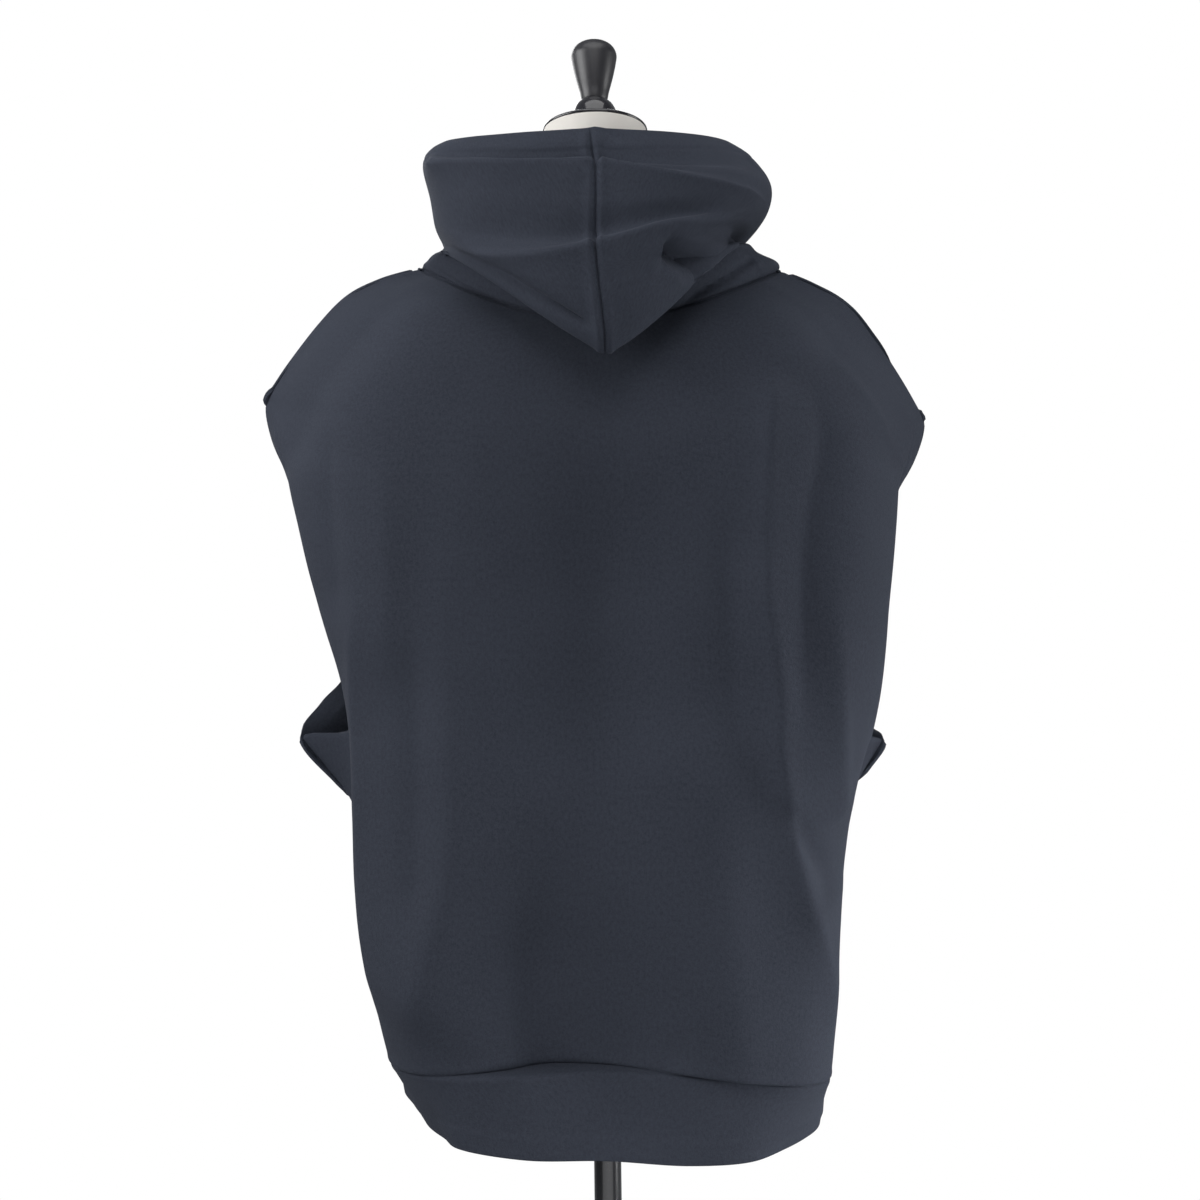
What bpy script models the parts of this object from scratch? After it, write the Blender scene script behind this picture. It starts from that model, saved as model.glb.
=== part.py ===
"""Sleeveless hoodie on a limbless dress form, at its real size in metres, +Z up.

The garment's front faces -Y and its left side is +X. The origin is the middle of the base's underside.
Each cut piece of cloth is a grid bent through its own named lines. The lines give the outer face of the
cloth, and a Solidify modifier puts the thickness inside it. Neighbouring pieces share the points of
their seam and stop a little short of it.
"""

import math
from collections import namedtuple

import bmesh
import bpy
import numpy as np
from mathutils import Vector
from mathutils.bvhtree import BVHTree

# Cloth
WALL = 0.0022  # thick double-knit jersey
SEAM_GAP = 0.0003
FOLDED_WALL = 0.0026  # the wall as it meets a seam, with a little to spare
SHARPEST_SEAM = math.cos(math.radians(32))
FORM_CLEARANCE = 0.0008  # between the cloth's inner face and the dress form

# Dress form and stand
CAP_TILT = math.radians(12)  # the neck leans forward, and its cap with it
CAP_SEAT = Vector((0.0, -0.0055, 1.3000))
CAP_RADIUS = 0.0485
CAP_THICKNESS = 0.0035
POLE_RADIUS = 0.0125
BASE_RADIUS = 0.160
BASE_EDGE = 0.007
BASE_CROWN = 0.011  # at the foot of its boss
BASE_BREAK = 0.006  # width of the bevel round its rim
BOSS_RADIUS = 0.0205  # of the collars that take the pole's ends
BOSS_ROUND = 0.003
BOSS_TOP = 0.042
SOCKET_FLOOR = 0.005  # of the hole in the base
SOCKET_LENGTH = 0.045
FLANGE_RADIUS = 0.055
FLANGE_THICKNESS = 0.005
TORSO_SIDES = 32

# Steps of the grids between neighbouring lines
BACK_ACROSS = (3, 3, 4, 3, 3)  # from the centre line out to the edge
FRONT_ACROSS = (3, 3, 3, 2)
BODY_ALONG = (2, 2, 2, 2, 1, 2, 2, 2, 1, 1, 1, 1, 3, 1, 1)
HOOD_ALONG = (1, 2, 2, 3, 2, 1, 1, 1, 2, 2, 1, 1, 1)
BAND_ALONG = 3
HEM_STEPS = 24  # of the smooth line through the hem's turns
OUTLINE_STEPS = 160  # of the quarter turns that the hood's lines are measured along

# Where the sides of the body panels run. Heights are of the left and right edge, which hangs lower.
Edge = namedtuple("Edge", "left left_height right right_height depth")
SIDE_SEAM = (
    Edge(0.1960, 0.452, 0.2060, 0.432, -0.050),
    Edge(0.222, 0.542, 0.214, 0.528, -0.052),
    Edge(0.229, 0.612, 0.222, 0.602, -0.055),
    Edge(0.236, 0.680, 0.240, 0.692, -0.057),
    Edge(0.285, 0.743, 0.266, 0.732, -0.060),
)
BACK_ARMHOLE = (
    Edge(0.232, 0.752, 0.238, 0.745, -0.034),
    Edge(0.223, 0.792, 0.238, 0.786, -0.020),
    Edge(0.237, 0.865, 0.240, 0.860, -0.012),
    Edge(0.260, 0.940, 0.249, 0.925, -0.004),
    Edge(0.286, 0.990, 0.2725, 0.9655, 0.006),
    Edge(0.3010, 1.021, 0.2900, 0.996, -0.002),
)
FRONT_ARMHOLE = (
    Edge(0.270, 0.774, 0.257, 0.746, -0.098),
    Edge(0.249, 0.801, 0.248, 0.777, -0.120),
    Edge(0.239, 0.869, 0.241, 0.852, -0.128),
    Edge(0.246, 0.945, 0.246, 0.925, -0.112),
    Edge(0.270, 1.000, 0.265, 0.980, -0.080),
    Edge(0.292, 1.034, 0.286, 1.011, -0.045),
)
SHOULDER = (
    Edge(0.3085, 1.056, 0.302, 1.031, -0.015),
    Edge(0.2990, 1.0730, 0.2942, 1.0470, -0.0130),
    Edge(0.240, 1.1457, 0.235, 1.1363, -0.004),
    Edge(0.201, 1.1665, 0.200, 1.1578, -0.001),
    Edge(0.1615, 1.1765, 0.168, 1.1705, 0.000),
)

# Sections of the back, from the band seam up to the neck seam. Depths are of the centre line, the
# blade, the corner, the soft fold that makes the outline, and the tuck that runs forward from it.
Back = namedtuple(
    "Back",
    "height centre blade corner fold tuck fold_left fold_right tuck_left tuck_right",
)
BACK = (
    Back(0.460, 0.102, 0.117, 0.095, 0.030, -0.015, 0.1950, 0.2020, 0.1975, 0.2055),
    Back(0.540, 0.119, 0.128, 0.108, 0.040, -0.008, 0.2127, 0.2077, 0.2150, 0.2080),
    Back(0.610, 0.129, 0.132, 0.112, 0.045, -0.005, 0.2217, 0.2126, 0.2180, 0.2110),
    Back(0.676, 0.127, 0.131, 0.114, 0.050, -0.002, 0.2217, 0.2235, 0.2140, 0.2160),
    Back(0.742, 0.124, 0.130, 0.115, 0.052, 0.000, 0.2240, 0.2364, 0.2130, 0.2250),
    Back(0.766, 0.123, 0.130, 0.115, 0.052, 0.004, 0.2242, 0.2407, 0.2120, 0.2290),
    Back(0.800, 0.121, 0.130, 0.114, 0.050, 0.012, 0.2312, 0.2506, 0.2200, 0.2400),
    Back(0.868, 0.117, 0.127, 0.111, 0.048, 0.015, 0.2530, 0.2586, 0.2440, 0.2480),
    Back(0.938, 0.114, 0.124, 0.107, 0.046, 0.018, 0.2710, 0.2660, 0.2670, 0.2590),
    Back(0.972, 0.115, 0.122, 0.104, 0.044, 0.024, 0.2790, 0.2680, 0.2850, 0.2710),
    Back(0.988, 0.116, 0.121, 0.101, 0.043, 0.020, 0.2740, 0.2650, 0.2920, 0.2800),
    Back(1.005, 0.117, 0.120, 0.098, 0.043, 0.012, 0.2630, 0.2600, 0.2890, 0.2830),
    Back(1.024, 0.1160, 0.1175, 0.096, 0.0455, 0.015, 0.2540, 0.2500, 0.2795, 0.2750),
    Back(1.080, 0.107, 0.104, 0.085, 0.050, 0.022, 0.2000, 0.1960, 0.2220, 0.2160),
    Back(1.102, 0.099, 0.093, 0.073, 0.044, 0.020, 0.1700, 0.1680, 0.1870, 0.1840),
    Back(1.118, 0.090, 0.081, 0.056, 0.031, 0.014, 0.1420, 0.1470, 0.1520, 0.1580),
)
BLADE_SHARE = 0.45  # of the fold's distance from the centre line
CORNER_SHARE = 0.83

# Sections of the front at the same levels. Shares are of the edge's distance from the centre line.
Front = namedtuple("Front", "height centre middle bend bend_share outer outer_share")
FRONT = (
    Front(0.446, -0.186, -0.177, -0.156, 0.87, -0.115, 1.02),
    Front(0.540, -0.183, -0.175, -0.153, 0.84, -0.115, 0.985),
    Front(0.610, -0.181, -0.172, -0.150, 0.82, -0.114, 0.965),
    Front(0.676, -0.178, -0.170, -0.140, 0.80, -0.100, 0.945),
    Front(0.742, -0.175, -0.164, -0.116, 0.76, -0.078, 0.920),
    Front(0.766, -0.173, -0.163, -0.128, 0.78, -0.102, 0.930),
    Front(0.800, -0.171, -0.162, -0.142, 0.78, -0.126, 0.930),
    Front(0.865, -0.166, -0.158, -0.147, 0.78, -0.135, 0.930),
    Front(0.935, -0.160, -0.154, -0.143, 0.76, -0.128, 0.920),
    Front(0.965, -0.154, -0.149, -0.133, 0.76, -0.108, 0.920),
    Front(0.983, -0.149, -0.144, -0.122, 0.76, -0.085, 0.920),
    Front(1.000, -0.144, -0.138, -0.108, 0.76, -0.058, 0.920),
    Front(1.016, -0.139, -0.132, -0.101, 0.76, -0.052, 0.920),
    Front(1.055, -0.123, -0.112, -0.079, 0.76, -0.037, 0.920),
    Front(1.075, -0.115, -0.101, -0.067, 0.78, -0.031, 0.930),
    Front(1.090, -0.108, -0.092, -0.060, 0.80, -0.025, 0.950),
)
MIDDLE_SHARE = 0.50

# The hem: a row for each turn of its lower edge, round from the centre back to the centre front.
Hem = namedtuple("Hem", "left left_depth left_height right right_depth right_height")
HEM = (
    Hem(0.0000, 0.118, 0.385, 0.0000, 0.118, 0.385),
    Hem(0.0700, 0.116, 0.386, 0.0700, 0.119, 0.380),
    Hem(0.1300, 0.094, 0.391, 0.1230, 0.111, 0.3805),
    Hem(0.1450, 0.062, 0.3925, 0.1570, 0.079, 0.3835),
    Hem(0.1600, 0.028, 0.394, 0.1820, 0.030, 0.3820),
    Hem(0.1700, -0.012, 0.395, 0.1945, -0.010, 0.3800),
    Hem(0.1805, -0.050, 0.396, 0.2010, -0.050, 0.3780),
    Hem(0.1950, -0.118, 0.397, 0.2070, -0.118, 0.377),
    Hem(0.1740, -0.163, 0.397, 0.1830, -0.166, 0.381),
    Hem(0.1000, -0.190, 0.394, 0.1020, -0.191, 0.387),
    Hem(0.0000, -0.199, 0.391, 0.0000, -0.199, 0.391),
)

# The hood: a row for each line from the neck seam to the rim of the face opening. Behind, the lines go
# up to a hidden crest, down inside the pouch to its bottom roll, and up its outer face over two soft
# ridges. Rise is 1 for a line that runs straight down to a point at the centre seam, more for a round
# one, and round is 2 for an ellipse seen from above, more for a squarer one.
Line = namedtuple(
    "Line",
    "seam depth height side round left left_height left_rise right right_height right_rise"
    " front front_height",
)
HOOD = (
    Line(0.000, 0.099, 1.147, 0.000, 1.70, 0.1590, 1.1795, 1.8, 0.1665, 1.1778, 1.8, -0.1085, 1.0925),
    Line(0.000, 0.113, 1.181, 0.001, 1.90, 0.1545, 1.1830, 2.4, 0.1480, 1.1860, 2.4, -0.1095, 1.0945),
    Line(-0.003, 0.134, 1.140, 0.003, 2.00, 0.1490, 1.1868, 1.3, 0.1410, 1.1920, 1.2, -0.1105, 1.0965),
    Line(-0.006, 0.153, 1.079, 0.006, 2.05, 0.1430, 1.1888, 1.12, 0.1275, 1.1935, 1.35, -0.1115, 1.0985),
    Line(-0.006, 0.166, 1.093, 0.009, 2.10, 0.1388, 1.1910, 1.1, 0.1218, 1.1976, 1.4, -0.1125, 1.1000),
    Line(-0.002, 0.173, 1.135, 0.012, 2.10, 0.1400, 1.1965, 2.0, 0.1236, 1.2036, 1.2, -0.1132, 1.1015),
    Line(0.001, 0.168, 1.170, 0.014, 2.15, 0.1432, 1.2030, 3.4, 0.1410, 1.2068, 0.8, -0.1140, 1.1030),
    Line(0.001, 0.156, 1.181, 0.015, 2.20, 0.1460, 1.2100, 3.4, 0.1530, 1.2145, 0.8, -0.1147, 1.1045),
    Line(0.000, 0.151, 1.212, 0.016, 2.30, 0.1500, 1.2360, 2.0, 0.1595, 1.2290, 1.5, -0.1160, 1.1070),
    Line(0.000, 0.141, 1.246, 0.018, 2.30, 0.1560, 1.2640, 1.8, 0.1600, 1.2410, 0.6, -0.1180, 1.1100),
    Line(0.001, 0.121, 1.246, 0.019, 2.20, 0.1545, 1.2720, 1.8, 0.1560, 1.2520, 0.6, -0.1190, 1.1120),
    Line(0.003, 0.109, 1.266, 0.018, 2.10, 0.1480, 1.2800, 2.0, 0.1430, 1.2685, 1.5, -0.1205, 1.1145),
    Line(0.004, 0.100, 1.281, 0.016, 2.00, 0.1400, 1.2850, 3.0, 0.1270, 1.2800, 3.0, -0.1220, 1.1170),
)
HOOD_FRONT_ROUND = 2.0
HOOD_FRONT_FALL = 1.3

# The padded torso, from its underside to the top of the neck
Ring = namedtuple("Ring", "height half_width back front square ridge lean tip")
TORSO = (
    Ring(0.565, 0.140, 0.086, -0.083, 2.3, 0.87, 0.0, 0.0),
    Ring(0.572, 0.158, 0.099, -0.095, 2.3, 0.87, 0.0, 0.0),
    Ring(0.590, 0.168, 0.108, -0.104, 2.3, 0.87, 0.0, 0.0),
    Ring(0.640, 0.173, 0.111, -0.108, 2.3, 0.87, 0.0, 0.0),
    Ring(0.700, 0.170, 0.106, -0.106, 2.3, 0.87, 0.0, 0.0),
    Ring(0.770, 0.158, 0.096, -0.102, 2.3, 0.87, 0.0, 0.0),
    Ring(0.840, 0.150, 0.090, -0.100, 2.3, 0.87, 0.0, 0.0),
    Ring(0.900, 0.158, 0.098, -0.108, 2.3, 0.87, 0.0, 0.0),
    Ring(0.970, 0.175, 0.106, -0.115, 2.3, 0.87, 0.0, 0.0),
    Ring(1.020, 0.193, 0.106, -0.113, 2.3, 0.87, 0.0, 0.0),
    Ring(1.060, 0.210, 0.099, -0.105, 2.2, 0.92, 0.0, 0.0),
    Ring(1.100, 0.217, 0.086, -0.092, 2.1, 1.15, 0.0, 0.004),
    Ring(1.130, 0.217, 0.080, -0.087, 2.0, 1.50, 0.0, 0.007),
    Ring(1.151, 0.199, 0.071, -0.081, 2.0, 1.84, 0.0, 0.007),
    Ring(1.163, 0.1755, 0.066, -0.077, 2.0, 1.96, 0.0, 0.008),
    Ring(1.172, 0.150, 0.062, -0.073, 2.0, 1.82, 0.0, 0.008),
    Ring(1.186, 0.106, 0.059, -0.067, 2.0, 1.50, 0.0, 0.0),
    Ring(1.200, 0.074, 0.054, -0.061, 2.0, 1.20, 0.03, 0.0),
    Ring(1.220, 0.058, 0.049, -0.056, 2.0, 1.00, 0.07, 0.0),
    Ring(1.250, 0.051, 0.045, -0.0535, 2.0, 1.00, 0.12, 0.0),
    Ring(1.300, 0.047, 0.0415, -0.0525, 2.0, 1.00, math.tan(CAP_TILT), 0.0),
)

# Radius of the collar and knob, by the distance from the neck cap
Turn = namedtuple("Turn", "along radius")
FINIAL = (
    Turn(0.0890, 0.0000),
    Turn(0.0882, 0.0075),
    Turn(0.0860, 0.0130),
    Turn(0.0825, 0.0178),
    Turn(0.0780, 0.0203),
    Turn(0.0730, 0.0212),
    Turn(0.0670, 0.0205),
    Turn(0.0580, 0.0188),
    Turn(0.0470, 0.0162),
    Turn(0.0370, 0.0135),
    Turn(0.0310, 0.0123),
    Turn(0.0285, 0.0122),
    Turn(0.0272, 0.0132),
    Turn(0.0240, 0.0168),
    Turn(0.0180, 0.0198),
    Turn(0.0090, 0.0214),
    Turn(0.0000, 0.0218),
)


def clear_scene():
    for thing in list(bpy.data.objects):
        bpy.data.objects.remove(thing, do_unlink=True)


def finish(name, color, roughness, metallic=0.0):
    """A plain Principled material."""
    material = bpy.data.materials.new(name)
    material.use_nodes = True
    shader = material.node_tree.nodes["Principled BSDF"]
    shader.inputs["Base Color"].default_value = (*color, 1.0)
    shader.inputs["Roughness"].default_value = roughness
    shader.inputs["Metallic"].default_value = metallic
    return material


def add(collection, name, bm, material, smooth_angle=40):
    mesh = bpy.data.meshes.new(name)
    bm.to_mesh(mesh)
    bm.free()
    mesh.shade_smooth()
    mesh.set_sharp_from_angle(angle=math.radians(smooth_angle))
    thing = bpy.data.objects.new(name, mesh)
    mesh.materials.append(material)
    collection.objects.link(thing)
    return thing


# ---------------------------------------------------------------- curves


def through(points, steps, closed=False):
    """A smooth curve through the points, with so many steps between one and the next."""
    points = np.asarray(points, float)
    if closed:
        points = np.concatenate([points[-2:-1], points, points[1:2]])
    gaps = np.sqrt(np.linalg.norm(np.diff(points, axis=0), axis=1))[:, None]
    chords = np.diff(points, axis=0) / gaps
    slopes = np.empty_like(points)
    slopes[1:-1] = (chords[:-1] * gaps[1:] + chords[1:] * gaps[:-1]) / (gaps[1:] + gaps[:-1])
    slopes[0] = (3 * chords[0] - slopes[1]) / 2
    slopes[-1] = (3 * chords[-1] - slopes[-2]) / 2
    first = 1 if closed else 0
    curve = [points[first]]
    for span, count in enumerate(steps, start=first):
        for t in np.arange(1, count + 1) / count:
            curve.append(
                (2 * t**3 - 3 * t**2 + 1) * points[span]
                + (t**3 - 2 * t**2 + t) * gaps[span] * slopes[span]
                + (3 * t**2 - 2 * t**3) * points[span + 1]
                + (t**3 - t**2) * gaps[span] * slopes[span + 1]
            )
    return np.array(curve)


def net(sections, across, along):
    """A grid through sections[level][station]: smooth along each section, then from level to level."""
    rows = np.array([through(section, across) for section in sections])
    return np.array([through(rows[:, i], along) for i in range(rows.shape[1])]).transpose(1, 0, 2)


def quarter(half, near, far, roundness):
    """A quarter turn seen from above, from (0, far) to (half, near), as x and y."""
    angle = np.linspace(0, math.pi / 2, OUTLINE_STEPS)
    x = half * np.sin(angle) ** (2 / roundness)
    y = near + (far - near) * np.cos(angle) ** (2 / roundness)
    return x, y


def at_shares(x, y, shares):
    """The points at the given shares of a plane curve's length."""
    length = np.concatenate([[0], np.cumsum(np.hypot(np.diff(x), np.diff(y)))])
    return np.interp(shares * length[-1], length, x), np.interp(shares * length[-1], length, y)


def shares_along(points):
    length = np.concatenate([[0], np.cumsum(np.linalg.norm(np.diff(points, axis=0), axis=1))])
    return length / length[-1]


# ---------------------------------------------------------------- the pattern pieces


def edge_point(edge, side):
    if side > 0:
        return np.array((edge.left, edge.depth, edge.left_height))
    return np.array((-edge.right, edge.depth, edge.right_height))


def height_between(centre_height, edge, x):
    """Heights along a section, which climbs or falls from its centre to its edge."""
    return centre_height + (edge[2] - centre_height) * (x / edge[0]) ** 2


def back_half(section, edge, side):
    """Stations of a back section, from the centre line out."""
    tip = edge_point(edge, side)
    fold = section.fold_left if side > 0 else -section.fold_right
    tuck = section.tuck_left if side > 0 else -section.tuck_right
    stations = (
        (0.0, section.centre),
        (BLADE_SHARE * fold, section.blade),
        (CORNER_SHARE * fold, section.corner),
        (fold, section.fold),
        (tuck, section.tuck),
    )
    return [(x, y, height_between(section.height, tip, x)) for x, y in stations] + [tip]


def front_half(section, edge, side):
    tip = edge_point(edge, side)
    stations = (
        (0.0, section.centre),
        (MIDDLE_SHARE * tip[0], section.middle),
        (section.bend_share * tip[0], section.bend),
        (section.outer_share * tip[0], section.outer),
    )
    return [(x, y, height_between(section.height, tip, x)) for x, y in stations] + [tip]


def whole(half, sections, edges):
    """Sections from the right edge to the left one."""
    return [
        half(section, edge, -1)[:0:-1] + half(section, edge, 1)
        for section, edge in zip(sections, edges, strict=True)
    ]


def body_panels():
    back = net(
        whole(back_half, BACK, SIDE_SEAM + BACK_ARMHOLE + SHOULDER),
        BACK_ACROSS[::-1] + BACK_ACROSS,
        BODY_ALONG,
    )
    front = net(
        whole(front_half, FRONT, SIDE_SEAM + FRONT_ARMHOLE + SHOULDER),
        FRONT_ACROSS[::-1] + FRONT_ACROSS,
        BODY_ALONG,
    )
    return back, front


def match_sides(back, front):
    """Gives both panels the same points where they are sewn together."""
    seam_top = sum(BODY_ALONG[: len(SIDE_SEAM) - 1])
    shoulder = sum(BODY_ALONG[: len(SIDE_SEAM + BACK_ARMHOLE)])
    for edge in (0, -1):
        for rows in (slice(0, seam_top + 1), slice(shoulder, None)):
            shared = (back[rows, edge] + front[rows, edge]) / 2
            back[rows, edge] = front[rows, edge] = shared


def hood_line(line, side, back_shares, front_shares):
    """One line of a hood half, from the centre back round the side to the centre front."""
    half = line.left if side > 0 else line.right
    top = line.left_height if side > 0 else line.right_height
    rise = line.left_rise if side > 0 else line.right_rise
    x, y = at_shares(*quarter(half, line.side, line.depth, line.round), back_shares)
    z = line.height + (top - line.height) * (x / half) ** rise
    behind = np.stack([side * x + line.seam * (1 - x / half), y, z], axis=1)
    x, y = at_shares(*quarter(half, line.side, line.front, HOOD_FRONT_ROUND), 1 - front_shares)
    z = line.front_height + (top - line.front_height) * (x / half) ** HOOD_FRONT_FALL
    before = np.stack([side * x, y, z], axis=1)
    return np.concatenate([behind, before[1:]])


def hood_half(back, front, side):
    """A half of the hood on its half of the neck seam. Rows run from the seam to the rim."""
    middle_back, middle_front = back.shape[1] // 2, front.shape[1] // 2
    back_seam = back[-1, middle_back:] if side > 0 else back[-1, middle_back::-1]
    front_seam = front[-1, :middle_front - 1:-1] if side > 0 else front[-1, :middle_front + 1]
    back_shares, front_shares = shares_along(back_seam), shares_along(front_seam)
    rows = [np.concatenate([back_seam, front_seam[1:]])]
    rows += [hood_line(line, side, back_shares, front_shares) for line in HOOD]
    rows = np.array(rows)
    return np.array(
        [through(rows[:, i], HOOD_ALONG) for i in range(rows.shape[1])]
    ).transpose(1, 0, 2)


def band(back, front):
    """The hem band as a closed ring, from the centre back to the left, the front and back again."""
    left = [(row.left, row.left_depth, row.left_height) for row in HEM]
    right = [(-row.right, row.right_depth, row.right_height) for row in HEM]
    hem = through(left + right[-2::-1], [HEM_STEPS] * (2 * len(HEM) - 2), closed=True)
    middle = back.shape[1] // 2
    top = np.concatenate([back[0, middle:], front[0, -2:0:-1], back[0, : middle + 1]])
    seam_shares, hem_shares = shares_along(top), shares_along(hem)
    bottom = np.stack([np.interp(seam_shares, hem_shares, hem[:, i]) for i in range(3)], axis=1)
    return np.array([bottom + (top - bottom) * t for t in np.linspace(0, 1, BAND_ALONG + 1)])


# ---------------------------------------------------------------- seams


def outward(grid, facing):
    """Unit normals on the worn outside of a grid."""
    return unit(facing * np.cross(np.gradient(grid, axis=1), np.gradient(grid, axis=0)))


def unit(vectors):
    return vectors / np.linalg.norm(vectors, axis=-1, keepdims=True)


def dot(a, b):
    return (a * b).sum(axis=-1, keepdims=True)


def folded(edge):
    """How much longer the wall is, across its vertices, where its edge turns a corner."""
    steps = unit(np.diff(edge, axis=0))
    longer = np.ones((len(edge), 1))
    longer[1:-1] = np.sqrt(2 / (1 + dot(steps[:-1], steps[1:])))
    return longer


def drawn_back(edge, inner, other, out):
    """An edge drawn back from its seam, far enough that two walls that meet at an angle stay apart."""
    run = unit(np.gradient(edge, axis=0))
    along = unit(inner - edge)
    square = along - run * dot(along, run)
    reach = np.linalg.norm(square, axis=1, keepdims=True)
    beyond = other - edge
    beyond = unit(beyond - run * dot(beyond, run))
    cosine = np.clip(dot(square / reach, beyond), -1, SHARPEST_SEAM)
    mitre = FOLDED_WALL * folded(edge) * np.sqrt((1 + cosine) / (1 - cosine)) * (dot(out, beyond) < 0)
    parting = SEAM_GAP / 2 / np.sqrt((1 - cosine) / 2)
    return edge + along * (parting + mitre) / reach


def join(a, a_out, b, b_out):
    """Parts two edges that share their points. Each is given as a view of its edge and the row inside it."""
    (a_edge, a_inner), (b_edge, b_inner) = a, b
    new_a = drawn_back(a_edge, a_inner, b_inner, a_out)
    new_b = drawn_back(b_edge, b_inner, a_inner, b_out)
    a_edge[...] = new_a
    b_edge[...] = new_b


def sew(back, front, left, right, ring):
    """Parts every seam. The grids hold their shared points until here."""
    out = {
        "back": outward(back, -1),
        "front": outward(front, 1),
        "left": outward(left, -1),
        "right": outward(right, 1),
        "ring": outward(ring, -1),
    }
    seam_top = sum(BODY_ALONG[: len(SIDE_SEAM) - 1])
    shoulder = sum(BODY_ALONG[: len(SIDE_SEAM + BACK_ARMHOLE)])
    middle_back, middle_front = back.shape[1] // 2, front.shape[1] // 2
    grids = [grid.copy() for grid in (back, front, left, right, ring)]
    new_back, new_front, new_left, new_right, new_ring = grids

    for edge, inner in ((0, 1), (-1, -2)):
        for rows in (slice(0, seam_top + 1), slice(shoulder, None)):
            join(
                (new_back[rows, edge], back[rows, inner]),
                out["back"][rows, edge],
                (new_front[rows, edge], front[rows, inner]),
                out["front"][rows, edge],
            )

    def shift(grid, new, place, out_here, inner, other):
        """Adds the neck or band seam's own parting, so that a corner is drawn back both ways."""
        new[place] += drawn_back(grid[place], inner, other, out_here) - grid[place]

    turns = sum(BACK_ACROSS)
    for side, half, new, half_out in (
        (1, left, new_left, out["left"]),
        (-1, right, new_right, out["right"]),
    ):
        back_columns = slice(middle_back, None, side)
        front_columns = (
            slice(None, middle_front - 1, -1) if side > 0 else slice(0, middle_front + 1)
        )
        behind, before = slice(0, turns + 1), slice(turns, None)
        shift(back, new_back, (-1, back_columns), out["back"][-1, back_columns],
              back[-2, back_columns], half[1, behind])
        shift(front, new_front, (-1, front_columns), out["front"][-1, front_columns],
              front[-2, front_columns], half[1, before])
        below = np.concatenate([back[-2, back_columns], front[-2, front_columns][1:]])
        shift(half, new, (0, slice(None)), half_out[0], half[1], below)
    for new, half, other, half_out in (
        (new_left, left, right, out["left"]),
        (new_right, right, left, out["right"]),
    ):
        for edge, inner in ((0, 1), (-1, -2)):
            shift(half, new, (slice(None), edge), half_out[:, edge], half[:, inner], other[:, inner])

    below = ring[-2]
    left_back = slice(middle_back, None)
    right_back = slice(0, middle_back + 1)
    across = front.shape[1] - 1
    shift(back, new_back, (0, left_back), out["back"][0, left_back], back[1, left_back],
          below[: turns + 1])
    shift(back, new_back, (0, slice(0, middle_back)), out["back"][0, :middle_back],
          back[1, :middle_back], below[-turns - 1 : -1])
    shift(front, new_front, (0, slice(None)), out["front"][0], front[1],
          below[turns : turns + across + 1][::-1])
    above = np.concatenate([back[1, left_back], front[1, -2:0:-1], back[1, right_back]])
    shift(ring, new_ring, (-1, slice(None)), out["ring"][-1], ring[-2], above)
    new_ring[:, -1] = new_ring[:, 0]
    return grids


def cloth(collection, name, grid, facing, material, closed=False):
    """A cut piece of cloth: a grid moved to its points, with its thickness on the inside."""
    if facing < 0:
        grid = grid[:, ::-1]
    rows, columns = grid.shape[:2]
    bm = bmesh.new()
    bmesh.ops.create_grid(bm, x_segments=columns - 1, y_segments=rows - 1, size=0.5)
    for vert in bm.verts:
        column = round((vert.co.x + 0.5) * (columns - 1))
        row = round((vert.co.y + 0.5) * (rows - 1))
        vert.co = grid[row, column]
    if closed:
        bmesh.ops.remove_doubles(bm, verts=bm.verts, dist=1e-6)
    piece = add(collection, name, bm, material)
    wall = piece.modifiers.new("Wall", "SOLIDIFY")
    wall.thickness = WALL
    wall.offset = -1
    wall.use_even_offset = True
    return piece


# ---------------------------------------------------------------- dress form and stand


def torso(collection, material):
    """The padded body: rounded sections joined from the underside to the slanted top of the neck."""
    bm = bmesh.new()
    rings = []
    for ring in TORSO:
        middle = (ring.back + ring.front) / 2
        verts = []
        for i in range(TORSO_SIDES):
            angle = 2 * math.pi * i / TORSO_SIDES
            c, s = math.cos(angle), math.sin(angle)
            x = math.copysign(abs(c) ** (2 / ring.square), c) * ring.half_width
            y = math.copysign(abs(s) ** ring.ridge, s) * (ring.back if s > 0 else -ring.front)
            z = ring.height + ring.lean * (y - middle) + ring.tip * x
            verts.append(bm.verts.new((x, y, z)))
        rings.append(verts)
    for low, high in zip(rings, rings[1:]):
        for i in range(TORSO_SIDES):
            j = (i + 1) % TORSO_SIDES
            bm.faces.new((low[i], low[j], high[j], high[i]))
    bm.faces.new(rings[0][::-1])
    bm.faces.new(rings[-1])
    bmesh.ops.recalc_face_normals(bm, faces=bm.faces)
    return add(collection, "form_torso", bm, material)


def lay_on(form, grid):
    """Lifts the points of a panel that would sink into the form, so that its wall rests just clear."""
    tree = BVHTree.FromPolygons(
        [v.co for v in form.data.vertices], [p.vertices for p in form.data.polygons]
    )
    needed = WALL + FORM_CLEARANCE
    for point in grid.reshape(-1, 3):
        near, normal, _, _ = tree.find_nearest(Vector(point))
        height = (Vector(point) - near).dot(normal)
        if height < needed:
            point += np.array(normal) * (needed - height)


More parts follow.
